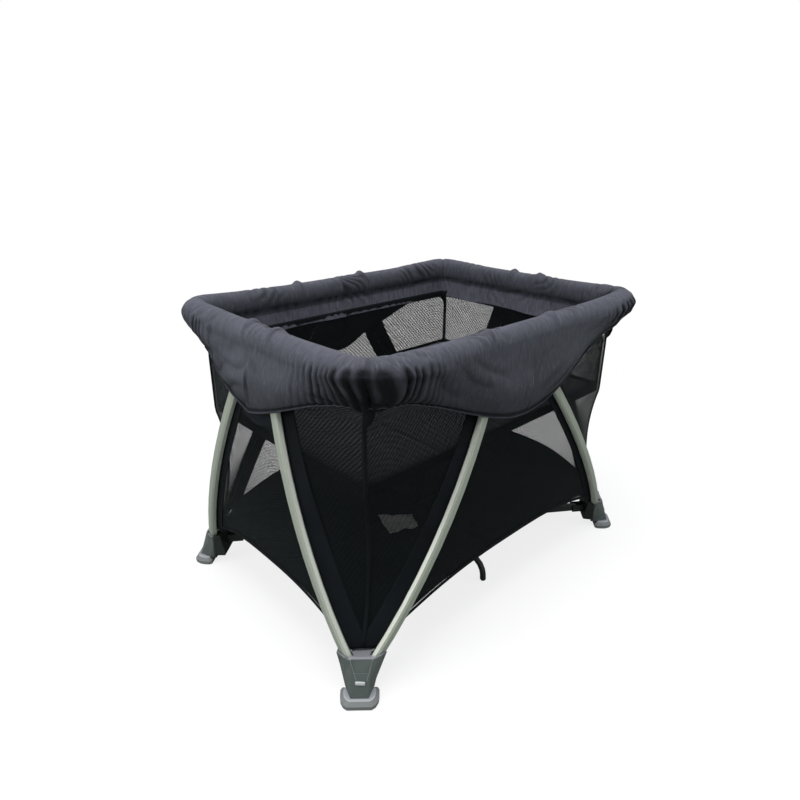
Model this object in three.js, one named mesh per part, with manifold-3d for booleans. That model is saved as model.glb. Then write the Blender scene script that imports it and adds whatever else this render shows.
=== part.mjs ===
// A folding playpen: four moulded feet joined by a folding base hub, bowed aluminium legs that rise
// in pairs to a hub at the middle of each side, folding top rails with corner elbows, padded covers,
// mesh walls, a raised bassinet insert and its mattress pad.
// Millimetres, +Z up, X along the long side, origin on the floor under the centre.
import * as THREE from "three";
import { mergeVertices } from "three/addons/utils/BufferGeometryUtils.js";
import Module from "manifold-3d";

const wasm = await Module();
wasm.setup();

// ---------------------------------------------------------------- driving dimensions
const CLEAR = 0.3; // gap between pieces that touch
const PIN_R = 4; // radius of every pivot pin

// plan of the feet, and the heights of the frame's pivots
const FOOT_X = 493;
const FOOT_Y = 335;
const FOOT_YAW = 42; // degrees between the long side and a foot's face
const LEG_SPREAD = 30.4; // from the middle of a foot to either of its legs
const LEG_FOOT_Z = 88;
const LEG_TOP_Z = 700;

// legs: a rounded rectangular tube, straight along its side and bowed outwards
const LEG_WIDTH = 24;
const LEG_THICK = 17;
const LEG_CORNER = 4;
const LEG_END = 12; // from a leg's pivot to its end
const LEG_FLAT = 16; // unbowed length below a leg's upper pivot
const LONG_LEG_BOW = 38;
const SHORT_LEG_BOW = 28.8;

// top rails and the side hubs that carry them
const RAIL_Z = 740;
const RAIL_R = 10;
const RAIL_X = 479; // axis of the short sides' rails
const RAIL_Y = 355; // axis of the long sides' rails
const RAIL_BEND = 55; // corner elbow's centreline radius
const RAIL_GAP = 17; // play at the elbow's free pivot
const ELBOW_R = 11.5;
const ELBOW_END = 8; // straight stub past the elbow's bend
const HUB_PLATE = 3.5;
const HUB_BOSS_R = 12;
const LONG_HUB_LEG = 62; // hub's centre to its leg pivots
const LONG_HUB_RAIL = 150; // hub's centre to its rail pivots
const SHORT_HUB_LEG = 50;
const SHORT_HUB_RAIL = 37;
const LATCH_HEIGHT = 34;

// foot: fronts and backs are measured out of the foot's middle, halves across it
const PAD_HEIGHT = 22;
const PAD_BEVEL = 10;
const PAD_HALF = 44;
const PAD_FRONT = 62;
const PAD_REAR = 8; // the grip stands under the toe only
const SOCKET_TOP_Z = 106;
const SOCKET_TOP_HALF = 57;
const SOCKET_LOW_HALF = 36;
const SOCKET_TOP_FRONT = 20;
const SOCKET_LOW_FRONT = 48;
const SOCKET_TOP_BACK = 28;
const SOCKET_LOW_BACK = 38;
const SOCKET_LEAN = 5; // sideways shift of the foot's base, towards the short side's leg
const SHELF_DROP = 5; // from the rim down to the shelf between the legs
const FACE_RECESS = 1.6;
const POCKET_EASE = 1.4; // play round a leg in its socket

// folding base
const HUB_R = 60;
const HUB_HEIGHT = 36;
const STRUT_Z = 65;
const STRUT_WIDTH = 16;
const STRUT_DEPTH = 20;
const STRUT_HUB_R = 47; // hub's centre to a strut's inner pivot
const STRUT_SETBACK = 62.4; // foot's middle back to a strut's outer pivot
const STRUT_SWING = 80; // degrees that a strut turns as the frame folds
const EAR_THICK = 5;
const HANDLE_SPAN = 56;
const HANDLE_RISE = 26;
const HANDLE_R = 4.5;
const SUPPORT_R = 8.5;
const SUPPORT_HUB_Y = 45;
const SUPPORT_REACH = 282; // hub's centre to where a support leg stands
const SUPPORT_BEND = 60; // length of a support leg's bend

// soft goods
const CLOTH = 3.5;
const DRAPE = 1.1; // ease between cloth and the frame it lies on
const PAD_R = 30; // padded rail's outer radius
const LONG_CROWN = 37; // height of the padding over the rails' axis
const SHORT_CROWN = 41;
const CORNER_CROWN = 47;
const SHOULDER = 10; // degrees past level where the round padding meets the skirt
const CORNER_BROW = 25; // degrees above level where the corner's padding meets its sloping skirt
const CORNER_SHARE = 0.8; // share of the corner's section that is reached where the bend starts
const SKIRT_HOLD = 40; // length of skirt by a hub that keeps clear of the leg
const CORNER_REACH = 46; // outer radius of the corners' padding
const LONG_HUB_EASE = 3; // from a hub's end to the end of the cover over it
const SHORT_HUB_EASE = 10;
const FLAP_Z = 663; // lower edge of the inner flap
const LONG_HEM_Z = 555; // lower edge of the covers at the middle of a side
const SHORT_HEM_Z = 590;
const CORNER_HEM_Z = 686;
const CORNER_SEAM_X = 460;
const CORNER_SEAM_Y = 318;
const SEAM_PULL = 5; // how far the corner seam draws in behind the covers
const CORNER_EASE = 8; // room for that mesh round the flap's corner
const PANEL_TUCK = 34; // height that the corner's mesh runs up behind the covers' skirt
const LONG_ARCH_Z = 198; // lower edge of the walls at the middle of a side
const SHORT_ARCH_Z = 190;
const WALL_FOOT_Z = 127; // lower edge of the walls by the feet
const FLOOR_Z = 122;
const FLOOR_THICK = 4;
const FLOOR_OVERLAP = 6; // height of the floor's edge over the walls' lower edges
const FLOOR_LEVEL = 0.5; // share of the floor's half width and length that lies level
const FLOOR_CORNER_X = 470;
const FLOOR_CORNER_Y = 318;
const TRAY_Z = 476;
const TRAY_THICK = 6;
const INSERT_WALL = 3;
const INSERT_TOP_Z = 700;
const MATTRESS_THICK = 18;
const MATTRESS_INSET = 11;

// half lengths of the covers over the hubs
const LONG_HUB_COVER = Math.max(LONG_HUB_LEG, LONG_HUB_RAIL) + HUB_BOSS_R + LONG_HUB_EASE;
const SHORT_HUB_COVER = Math.max(SHORT_HUB_LEG, SHORT_HUB_RAIL) + HUB_BOSS_R + SHORT_HUB_EASE;

// ---------------------------------------------------------------- geometry helpers
const rad = THREE.MathUtils.degToRad;
const V = (x, y, z) => new THREE.Vector3(x, y, z);
const X = V(1, 0, 0);
const Y = V(0, 1, 0);
const Z = V(0, 0, 1);
const mix = THREE.MathUtils.lerp;

// A three.js geometry as a solid whose faces point out.
function solid(geometry) {
  const bare = geometry.clone();
  bare.deleteAttribute("normal");
  bare.deleteAttribute("uv");
  const welded = mergeVertices(bare, 1e-4);
  const p = welded.getAttribute("position").array;
  const t = new Uint32Array(welded.index.array);
  let volume = 0;
  for (let i = 0; i < t.length; i += 3) {
    const [a, b, c] = [t[i], t[i + 1], t[i + 2]].map((k) => V(p[3 * k], p[3 * k + 1], p[3 * k + 2]));
    volume += a.dot(b.cross(c));
  }
  if (volume < 0) t.reverse();
  return new wasm.Manifold(new wasm.Mesh({ numProp: 3, vertProperties: p, triVerts: t }));
}

function geometryOf(made) {
  const mesh = made.getMesh();
  const geometry = new THREE.BufferGeometry();
  geometry.setAttribute("position", new THREE.BufferAttribute(mesh.vertProperties, 3));
  geometry.setIndex(new THREE.BufferAttribute(mesh.triVerts, 1));
  geometry.computeVertexNormals();
  return geometry;
}

const union = (first, ...rest) => rest.reduce((sum, s) => sum.add(s), first);
const cut = (first, ...rest) => rest.reduce((sum, s) => sum.subtract(s), first);

// A skin through a row of matching outlines, with flat ends. Each section holds an outline in its
// own plane: points [a, b] at origin + a * right + b * up.
function skin(sections) {
  const n = sections[0].outline.length;
  const position = sections.flatMap(({ outline, origin, right, up }) =>
    outline.flatMap(([a, b]) =>
      origin.clone().addScaledVector(right, a).addScaledVector(up, b).toArray(),
    ),
  );
  const index = [];
  for (let ring = 0; ring < sections.length - 1; ring++) {
    for (let i = 0; i < n; i++) {
      const a = ring * n + i;
      const b = ring * n + ((i + 1) % n);
      index.push(a, b, b + n, a, b + n, a + n);
    }
  }
  const cap = (outline) => {
    const points = outline.map(([a, b]) => new THREE.Vector2(a, b));
    const turned = THREE.ShapeUtils.isClockWise(points);
    return { faces: THREE.ShapeUtils.triangulateShape(points, []), turned };
  };
  const start = cap(sections[0].outline);
  for (const [a, b, c] of start.faces) index.push(...(start.turned ? [a, b, c] : [c, b, a]));
  const end = cap(sections.at(-1).outline);
  const last = (sections.length - 1) * n;
  for (const [a, b, c] of end.faces) {
    index.push(...(end.turned ? [c, b, a] : [a, b, c]).map((k) => k + last));
  }
  const turned = start.turned;
  const geometry = new THREE.BufferGeometry();
  geometry.setAttribute("position", new THREE.Float32BufferAttribute(position, 3));
  const sides = (sections.length - 1) * n * 6;
  if (turned) {
    for (let i = 0; i < sides; i += 3) [index[i], index[i + 1]] = [index[i + 1], index[i]];
  }
  geometry.setIndex(index);
  return solid(geometry);
}

// A sheet of even thickness over the surface at(u, v), with u and v running from 0 to 1.
function sheet(thickness, across, along, at) {
  const geometry = new THREE.BoxGeometry(1, 1, 1, across, along, 1);
  const position = geometry.getAttribute("position");
  const step = 1e-3;
  for (let i = 0; i < position.count; i++) {
    const u = position.getX(i) + 0.5;
    const v = position.getY(i) + 0.5;
    const du = at(Math.min(u + step, 1), v).sub(at(Math.max(u - step, 0), v));
    const dv = at(u, Math.min(v + step, 1)).sub(at(u, Math.max(v - step, 0)));
    const normal = du.cross(dv).normalize();
    const p = at(u, v).addScaledVector(normal, position.getZ(i) * thickness);
    position.setXYZ(i, p.x, p.y, p.z);
  }
  return solid(geometry);
}

// The outline of a rectangle with rounded corners, centred on its own origin.
function roundedRectangle(width, height, radius, steps = 2) {
  const points = [];
  for (const [sx, sy, from] of [[1, 1, 0], [-1, 1, 90], [-1, -1, 180], [1, -1, 270]]) {
    for (let i = 0; i <= steps; i++) {
      const a = rad(from + (90 * i) / steps);
      points.push([
        sx * (width / 2 - radius) + radius * Math.cos(a),
        sy * (height / 2 - radius) + radius * Math.sin(a),
      ]);
    }
  }
  return points;
}

const circle = (radius, sides) =>
  Array.from({ length: sides }, (_, i) => {
    const a = (2 * Math.PI * i) / sides;
    return [radius * Math.cos(a), radius * Math.sin(a)];
  });

// A bar of one outline between two points.
function bar(from, to, outline, up = Z) {
  const along = to.clone().sub(from).normalize();
  const right = up.clone().cross(along).normalize();
  const over = along.clone().cross(right);
  return skin([from, to].map((origin) => ({ outline, origin, right, up: over })));
}

const pin = (from, to, radius = PIN_R, sides = 8) =>
  bar(from, to, circle(radius, sides), Math.abs(to.clone().sub(from).normalize().z) > 0.9 ? X : Z);

// The hole for a pin: its flats, not its corners, keep the clearance.
const bore = (from, to) => pin(from, to, (PIN_R + CLEAR) / Math.cos(Math.PI / 8));

// A plate cut from a shape in the (right, up) plane, its thickness running from origin along
// right x up.
function plate(shape, thickness, origin, right, up) {
  const geometry = new THREE.ExtrudeGeometry(shape, {
    depth: thickness,
    bevelEnabled: false,
    curveSegments: 4,
  });
  const out = right.clone().cross(up);
  geometry.applyMatrix4(new THREE.Matrix4().makeBasis(right, up, out).setPosition(origin));
  return solid(geometry);
}

// ---------------------------------------------------------------- the scene
const playpen = new THREE.Group();
playpen.name = "playpen";

const FINISH = {
  aluminium: { color: "#b9bda6", roughness: 0.38, metalness: 0.85 },
  steel: { color: "#3b3d40", roughness: 0.45, metalness: 0.7 },
  moulding: { color: "#34373b", roughness: 0.5, metalness: 0.1 },
  grip: { color: "#7c7e82", roughness: 0.75, metalness: 0 },
  blackSteel: { color: "#17181a", roughness: 0.5, metalness: 0.4 },
  cloth: { color: "#22242a", roughness: 0.85, metalness: 0 },
  mesh: { color: "#15161a", roughness: 0.9, metalness: 0 },
  pad: { color: "#2b2d34", roughness: 0.9, metalness: 0 },
};

const QUADRANTS = [
  ["front_left", -1, -1],
  ["front_right", 1, -1],
  ["back_left", -1, 1],
  ["back_right", 1, 1],
];

function add(name, made, finish, sx = 1, sy = 1) {
  const mesh = new THREE.Mesh(geometryOf(made), new THREE.MeshStandardMaterial(FINISH[finish]));
  mesh.name = name;
  mesh.scale.set(sx, sy, 1);
  playpen.add(mesh);
}

// The same piece in all four quarters of the plan, mirrored from the one at +X +Y.
function addQuarters(name, made, finish) {
  for (const [quadrant, sx, sy] of QUADRANTS) add(`${name}_${quadrant}`, made, finish, sx, sy);
}

// ---------------------------------------------------------------- legs
// Plan axes of the foot at +X +Y: across its face, and out of it.
const footAcross = V(Math.cos(rad(FOOT_YAW)), -Math.sin(rad(FOOT_YAW)), 0);
const footOut = V(Math.sin(rad(FOOT_YAW)), Math.cos(rad(FOOT_YAW)), 0);
const footPoint = (across, out, z) =>
  V(FOOT_X, FOOT_Y, z).addScaledVector(footAcross, across).addScaledVector(footOut, out);

const longPivot = footPoint(-LEG_SPREAD, 0, LEG_FOOT_Z);
const shortPivot = footPoint(LEG_SPREAD, 0, LEG_FOOT_Z);
// the legs' tops lie against the hub plates, which lie against the rails
const longTopY = RAIL_Y - RAIL_R - HUB_PLATE - 2 * CLEAR - LEG_THICK / 2;
const shortTopX = RAIL_X + RAIL_R + HUB_PLATE + 2 * CLEAR + LEG_THICK / 2;

// Two families of legs: side runs along the leg's own side, out is its outward normal.
const LONG = {
  side: X,
  out: Y,
  foot: [longPivot.x, longPivot.y],
  top: [LONG_HUB_LEG, longTopY],
  bow: LONG_LEG_BOW,
};
const SHORT = {
  side: Y,
  out: X,
  foot: [shortPivot.y, shortPivot.x],
  top: [SHORT_HUB_LEG, shortTopX],
  bow: SHORT_LEG_BOW,
};

// A leg's centreline at height z: its place along the side and its distance from the middle.
function legAt(family, z) {
  const t = (z - LEG_FOOT_Z) / (LEG_TOP_Z - LEG_FOOT_Z);
  const arc = Math.min(1, (z - LEG_FOOT_Z) / (LEG_TOP_Z - LEG_FLAT - LEG_FOOT_Z));
  return {
    along: mix(family.foot[0], family.top[0], t),
    out: mix(family.foot[1], family.top[1], arc) + 4 * family.bow * arc * (1 - arc),
  };
}

function legSolid(family, heights, grow = 0) {
  const outline = roundedRectangle(LEG_WIDTH + 2 * grow, LEG_THICK + 2 * grow, LEG_CORNER, 1);
  const sections = [];
  const rise = V(0, 0, LEG_TOP_Z - LEG_FOOT_Z).addScaledVector(family.side, family.top[0] - family.foot[0]);
  const right = rise.clone().cross(family.out).normalize();
  for (const z of heights) {
    const { along, out } = legAt(family, z);
    const origin = V(0, 0, z).addScaledVector(family.side, along).addScaledVector(family.out, out);
    sections.push({ outline, origin, right, up: family.out });
  }
  return skin(sections);
}

const leanOf = (family) =>
  Math.atan2(family.foot[0] - family.top[0], LEG_TOP_Z - LEG_FOOT_Z);
const endDrop = (family) => LEG_END * Math.cos(leanOf(family));

// A leg with the bores of its two pivots. Both legs of a pair are alike; the one on the hub's pin
// carries it.
function leg(family) {
  const drop = endDrop(family);
  const bottom = LEG_FOOT_Z - drop;
  const bowEnd = LEG_TOP_Z - LEG_FLAT;
  const heights = Array.from({ length: 11 }, (_, i) => mix(bottom, bowEnd, i / 10));
  const body = legSolid(family, [...heights, LEG_TOP_Z + drop]);
  const hole = (z) => {
    const { along, out } = legAt(family, z);
    const at = V(0, 0, z).addScaledVector(family.side, along).addScaledVector(family.out, out);
    const reach = family.out.clone().multiplyScalar(LEG_THICK);
    return bore(at.clone().sub(reach), at.clone().add(reach));
  };
  return cut(body, hole(LEG_FOOT_Z), hole(LEG_TOP_Z));
}

const longLeg = leg(LONG);
const shortLeg = leg(SHORT);
addQuarters("long_leg", longLeg, "aluminium");
addQuarters("short_leg", shortLeg, "aluminium");

// ---------------------------------------------------------------- feet
// The socket narrows downwards across its face while its front slopes out to the toe.
function socketRing(z, half, front, back, shift) {
  return {
    outline: [
      [half, -back * 0.15],
      [half * 0.72, front * 0.55],
      [half * 0.42, front],
      [-half * 0.42, front],
      [-half * 0.72, front * 0.55],
      [-half, -back * 0.15],
      [-half * 0.9, -back],
      [half * 0.9, -back],
    ],
    origin: footPoint(shift, 0, z),
    right: footAcross,
    up: footOut,
  };
}

const socketAt = (t) => ({
  half: mix(SOCKET_LOW_HALF, SOCKET_TOP_HALF, t),
  front: mix(SOCKET_LOW_FRONT, SOCKET_TOP_FRONT, t),
  back: mix(SOCKET_LOW_BACK, SOCKET_TOP_BACK, t ** 0.6),
  shift: mix(SOCKET_LEAN, 0, t),
});

function socketBody() {
  const base = PAD_HEIGHT + CLEAR;
  const rings = [0, 0.16, 0.5, 0.96, 1].map((t) => {
    const { half, front, back, shift } = socketAt(t);
    const toe = t === 0 ? 0.72 : 1; // the toe's lower corners are cut back
    const rim = t === 1 ? 1.2 : 0; // small round at the top rim
    return socketRing(mix(base, SOCKET_TOP_Z, t), half * toe - rim, front - rim, back * toe - rim, shift);
  });
  return skin(rings);
}

// struts run out from the centre towards each foot
const strutDir = V(FOOT_X, FOOT_Y, 0).normalize();
const strutOuter = V(FOOT_X, FOOT_Y, 0).addScaledVector(strutDir, -STRUT_SETBACK).setZ(STRUT_Z);
const strutSide = Z.clone().cross(strutDir);

// How far a foot travels inwards as the frame folds, and the lean that leaves a leg with.
const strutLength = Math.hypot(strutOuter.x, strutOuter.y) - STRUT_HUB_R;
const travel = strutDir.clone().multiplyScalar(strutLength * (1 - Math.cos(rad(STRUT_SWING))));
const closedLeanOf = ({ side, foot, top }) =>
  Math.asin((foot[0] - travel.dot(side) - top[0]) / Math.hypot(foot[0] - top[0], LEG_TOP_Z - LEG_FOOT_Z));

// The hollow that a leg's lower end swings in as the frame folds.
function legPocket(family) {
  const lean = leanOf(family);
  const closedLean = closedLeanOf(family);
  const foot = V(0, 0, LEG_FOOT_Z)
    .addScaledVector(family.side, family.foot[0])
    .addScaledVector(family.out, family.foot[1]);
  const low = LEG_FOOT_Z - endDrop(family) - 1;
  const stub = legSolid(family, [low, SOCKET_TOP_Z + 30], POCKET_EASE);
  const swings = [0, 0.25, 0.5, 0.75, 1].map((t) => {
    const turn = new THREE.Matrix4()
      .makeTranslation(foot)
      .multiply(
        new THREE.Matrix4().makeRotationAxis(
          family.side.clone().cross(Z).negate(),
          (lean - closedLean) * t,
        ),
      )
      .multiply(new THREE.Matrix4().makeTranslation(foot.clone().negate()));
    return solid(geometryOf(stub).applyMatrix4(turn));
  });
  return union(...swings);
}

function legPin(family) {
  const { along, out } = legAt(family, LEG_FOOT_Z);
  const at = V(0, 0, LEG_FOOT_Z).addScaledVector(family.side, along).addScaledVector(family.out, out);
  const reach = family.out.clone().multiplyScalar(LEG_THICK / 2 + 2);
  return pin(at.clone().sub(reach), at.clone().add(reach));
}

// Two ears on the back of the socket hold the strut's outer end on a pin.
function strutEars() {
  const from = strutOuter.clone().addScaledVector(strutDir, -STRUT_DEPTH / 2 - 1);
  const to = strutOuter.clone().addScaledVector(strutDir, 44);
  const outline = roundedRectangle(EAR_THICK, STRUT_DEPTH + 4, 1.5, 1);
  const ears = [-1, 1].map((side) => {
    const shift = strutSide.clone().multiplyScalar(side * (STRUT_WIDTH / 2 + CLEAR + EAR_THICK / 2));
    return bar(from.clone().add(shift), to.clone().add(shift), outline);
  });
  const reach = strutSide.clone().multiplyScalar(STRUT_WIDTH / 2 + 2);
  return union(...ears, pin(strutOuter.clone().sub(reach), strutOuter.clone().add(reach)));
}

// The sunk panel and the button on the socket's face.
const faceUp = footPoint(0, SOCKET_TOP_FRONT, SOCKET_TOP_Z)
  .sub(footPoint(SOCKET_LEAN, SOCKET_LOW_FRONT, PAD_HEIGHT + CLEAR))
  .normalize();
const faceNormal = footAcross.clone().cross(faceUp).normalize();
if (faceNormal.dot(footOut) < 0) faceNormal.negate();
const facePoint = (up) =>
  footPoint(SOCKET_LEAN, SOCKET_LOW_FRONT, PAD_HEIGHT + CLEAR).addScaledVector(faceUp, up);
const FACE_HEIGHT = footPoint(0, SOCKET_TOP_FRONT, SOCKET_TOP_Z).distanceTo(facePoint(0));
const PANEL_BOTTOM = 0.42; // of the face's height

function facePanel() {
  const low = FACE_HEIGHT * PANEL_BOTTOM;
  const shape = new THREE.Shape()
    .moveTo(-11, low)
    .lineTo(11, low)
    .lineTo(23, FACE_HEIGHT + 2)
    .lineTo(-23, FACE_HEIGHT + 2)
    .closePath();
  const origin = facePoint(0).addScaledVector(faceNormal, 4);
  const right = faceUp.clone().cross(faceNormal);
  return plate(shape, 4 + FACE_RECESS, origin, right.negate(), faceUp);
}

function faceButton() {
  const outline = roundedRectangle(21, 7, 3, 2);
  const at = (depth) =>
    facePoint(FACE_HEIGHT * PANEL_BOTTOM - 3).addScaledVector(faceNormal, depth);
  const right = faceUp.clone().cross(faceNormal);
  return skin([-2, 1, 2].map((depth, i) => ({
    outline: i < 2 ? outline : outline.map(([a, b]) => [a * 0.85, b * 0.7]),
    origin: at(depth),
    right,
    up: faceUp,
  })));
}

// The top between the two legs is a shallow shelf below the rim.
function shelf() {
  const back = -SOCKET_TOP_BACK - 2;
  const outline = [[-21, back], [21, back], [23, 8], [-23, 8]];
  return skin([SOCKET_TOP_Z - SHELF_DROP, SOCKET_TOP_Z + 1].map((z) => ({
    outline, origin: footPoint(0, 0, z), right: footAcross, up: footOut,
  })));
}

const socket = union(
  cut(
    union(socketBody(), strutEars(), faceButton()),
    legPocket(LONG),
    legPocket(SHORT),
    facePanel(),
    shelf(),
  ),
  legPin(LONG),
  legPin(SHORT),
);
addQuarters("foot_socket", socket, "moulding");

// The foot's soft grip under the toe: a low block with rounded corners and a bevelled upper edge.
function footPad() {
  const ring = (z, inset) => {
    const half = PAD_HALF - inset;
    const at = (t) => mix(PAD_REAR + inset, PAD_FRONT - inset, t);
    const right = [[0.9, 0], [1, 0.12], [1, 0.42], [0.96, 0.66], [0.82, 0.88], [0.62, 1]];
    const left = right.map(([a, b]) => [-a, b]).reverse();
    return {
      outline: [...right, ...left].map(([a, b]) => [a * half, at(b)]),
      origin: footPoint(SOCKET_LEAN, 0, z), right: footAcross, up: footOut,
    };
  };
  return skin([ring(0, 2.5), ring(3, 0), ring(PAD_HEIGHT - PAD_BEVEL, 0), ring(PAD_HEIGHT, PAD_BEVEL)]);
}
addQuarters("foot_pad", footPad(), "grip");

// ---------------------------------------------------------------- folding base
// The base hub: a drum with slots that the struts and support legs swing down in.
const hubBottom = STRUT_Z - HUB_HEIGHT / 2 + 2;
const hubTop = hubBottom + HUB_HEIGHT;

function baseHub() {
  const r = HUB_R;
  const profile = [
    [0, hubBottom + 4], [20, hubBottom + 4], [24, hubBottom], [r - 3, hubBottom],
    [r, hubBottom + 3], [r, hubTop - 8], [r - 8, hubTop], [0, hubTop],
  ];
  const drum = solid(
    new THREE.LatheGeometry(profile.map(([a, b]) => new THREE.Vector2(a, b)), 24).rotateX(Math.PI / 2),
  );
  const slots = [];
  const pins = [];
  const slot = (dir, pivotR, width, z) => {
    const side = Z.clone().cross(dir);
    const inner = dir.clone().multiplyScalar(pivotR - STRUT_DEPTH / 2 - 2).setZ(z - 40 + STRUT_DEPTH / 2 + 2);
    const outer = dir.clone().multiplyScalar(r + 20).setZ(inner.z);
    slots.push(bar(inner, outer, roundedRectangle(width + 2 * CLEAR, 80, 1, 1)));
    const at = dir.clone().multiplyScalar(pivotR).setZ(z);
    const reach = side.multiplyScalar(width / 2 + 2);
    pins.push(pin(at.clone().sub(reach), at.clone().add(reach)));
  };
  for (const [, sx, sy] of QUADRANTS) {
    slot(V(strutDir.x * sx, strutDir.y * sy, 0), STRUT_HUB_R, STRUT_WIDTH, STRUT_Z);
  }
  for (const sy of [-1, 1]) slot(V(0, sy, 0), SUPPORT_HUB_Y, 2 * SUPPORT_R, STRUT_Z);
  return union(cut(drum, ...slots), ...pins);
}
add("base_hub", baseHub(), "moulding");

// Pull loop on top of the hub, for lifting it to fold the frame.
function liftHandle() {
  const half = HANDLE_SPAN / 2;
  const z = hubTop + CLEAR;
  const sections = [];
  for (let i = 0; i <= 10; i++) {
    const a = (Math.PI * i) / 10;
    sections.push({
      outline: circle(HANDLE_R, 8),
      origin: V(-half * Math.cos(a), 0, z + 2 + (HANDLE_RISE - 2) * Math.sin(a)),
      right: Y,
      up: V(-Math.cos(a), 0, Math.sin(a)),
    });
  }
  const foot = plate(
    new THREE.Shape(roundedRectangle(HANDLE_SPAN + 20, 20, 8, 3).map(([a, b]) => new THREE.Vector2(a, b))),
    4, V(0, 0, z), X, Y,
  );
  return union(foot, skin(sections));
}
add("lift_handle", liftHandle(), "grip");

// A strut: a flat tube with rounded ends, bored for its two pins.
function strut() {
  const end = STRUT_DEPTH / 2 - 0.5;
  const shape = new THREE.Shape()
    .absarc(0, 0, end, Math.PI / 2, 1.5 * Math.PI)
    .lineTo(strutLength, -end)
    .absarc(strutLength, 0, end, -Math.PI / 2, Math.PI / 2)
    .closePath();
  const inner = V(strutDir.x * STRUT_HUB_R, strutDir.y * STRUT_HUB_R, STRUT_Z);
  const face = inner.clone().addScaledVector(strutSide, STRUT_WIDTH / 2);
  const body = plate(shape, STRUT_WIDTH, face, strutDir, Z);
  const hole = (at) =>
    bore(
      at.clone().addScaledVector(strutSide, -STRUT_WIDTH),
      at.clone().addScaledVector(strutSide, STRUT_WIDTH),
    );
  return cut(body, hole(inner), hole(strutOuter));
}
addQuarters("base_strut", strut(), "steel");

// A support leg: a round bar that runs out from the hub and bends down to stand under the floor.
function supportLeg() {
  const bendFrom = SUPPORT_REACH - SUPPORT_BEND;
  const path = new THREE.CurvePath();
  path.add(new THREE.LineCurve3(V(0, SUPPORT_HUB_Y, STRUT_Z), V(0, bendFrom, STRUT_Z)));
  path.add(new THREE.QuadraticBezierCurve3(
    V(0, bendFrom, STRUT_Z), V(0, SUPPORT_REACH, STRUT_Z), V(0, SUPPORT_REACH, SUPPORT_R),
  ));
  // stations bunch up towards the bend
  const sections = Array.from({ length: 11 }, (_, i) => {
    const t = Math.sqrt(i / 10);
    const up = path.getTangentAt(t).cross(X).negate();
    return { outline: circle(SUPPORT_R, 8), origin: path.getPointAt(t), right: X, up };
  });
  const eye = pin(V(-SUPPORT_R, SUPPORT_HUB_Y, STRUT_Z), V(SUPPORT_R, SUPPORT_HUB_Y, STRUT_Z), SUPPORT_R, 12);
  const ball = SUPPORT_R * 1.06;
  const foot = solid(new THREE.SphereGeometry(ball, 8, 6).translate(0, SUPPORT_REACH, ball));
  const hole = bore(V(-20, SUPPORT_HUB_Y, STRUT_Z), V(20, SUPPORT_HUB_Y, STRUT_Z));
  return cut(union(skin(sections), eye, foot), hole);
}
const support = supportLeg();
add("support_leg_front", support, "blackSteel", 1, -1);
add("support_leg_back", support, "blackSteel", 1, 1);

// ---------------------------------------------------------------- side hubs
// A plate between the legs and the rails, with a pin for each pivot and a latch housing in the middle.
// legSide is the side whose leg carries the hub.
function sideHub({ side, out, plateAt, legAtHalf, railAtHalf, legOut, railOut }) {
  const top = RAIL_Z + HUB_BOSS_R;
  const low = LEG_TOP_Z - HUB_BOSS_R + 2;
  const shape = new THREE.Shape();
  const reach = Math.max(railAtHalf, legAtHalf) + HUB_BOSS_R;
  const waist = Math.min(railAtHalf, legAtHalf);
  if (railAtHalf > legAtHalf) {
    shape.moveTo(-reach, RAIL_Z).lineTo(-reach + 5, top - 3).lineTo(-railAtHalf, top).lineTo(railAtHalf, top)
      .lineTo(reach - 5, top - 3).lineTo(reach, RAIL_Z).lineTo(railAtHalf, RAIL_Z - HUB_BOSS_R)
      .lineTo(waist + HUB_BOSS_R, LEG_TOP_Z).lineTo(waist, low).lineTo(waist - 20, low + 6)
      .lineTo(-waist + 20, low + 6).lineTo(-waist, low).lineTo(-waist - HUB_BOSS_R, LEG_TOP_Z)
      .lineTo(-railAtHalf, RAIL_Z - HUB_BOSS_R).closePath();
  } else {
    shape.moveTo(-waist - HUB_BOSS_R, RAIL_Z).lineTo(-waist, top).lineTo(waist, top)
      .lineTo(waist + HUB_BOSS_R, RAIL_Z).lineTo(reach, LEG_TOP_Z).lineTo(legAtHalf, low)
      .lineTo(legAtHalf - 20, low + 6).lineTo(-legAtHalf + 20, low + 6).lineTo(-legAtHalf, low)
      .lineTo(-reach, LEG_TOP_Z).closePath();
  }
  const right = side;
  const thick = side.clone().cross(Z).dot(out) > 0 ? HUB_PLATE : -HUB_PLATE;
  const from = out.clone().multiplyScalar(thick > 0 ? plateAt : plateAt + HUB_PLATE);
  const body = plate(shape, HUB_PLATE, from, right, Z);
  const place = (along, z, o) => V(0, 0, z).addScaledVector(side, along).addScaledVector(out, o);
  const middle = plateAt + HUB_PLATE / 2;
  const pins = [pin(place(-legAtHalf, LEG_TOP_Z, middle), place(-legAtHalf, LEG_TOP_Z, legOut))];
  for (const s of [-1, 1]) {
    pins.push(pin(place(s * railAtHalf, RAIL_Z, middle), place(s * railAtHalf, RAIL_Z, railOut)));
  }
  // latch housing, between the ends of the rails
  const half = railAtHalf - HUB_BOSS_R - 4;
  const outline = roundedRectangle(2 * half, LATCH_HEIGHT, 6, 2);
  const depth = (railOut - middle) * 0.95;
  const latch = skin([0, 0.8, 1].map((t) => ({
    outline: t < 1 ? outline : outline.map(([a, b]) => [a * 0.94, b * 0.86]),
    origin: place(0, RAIL_Z - 8, middle + depth * t),
    right: side,
    up: Z,
  })));
  return union(body, latch, ...pins);
}

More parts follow.
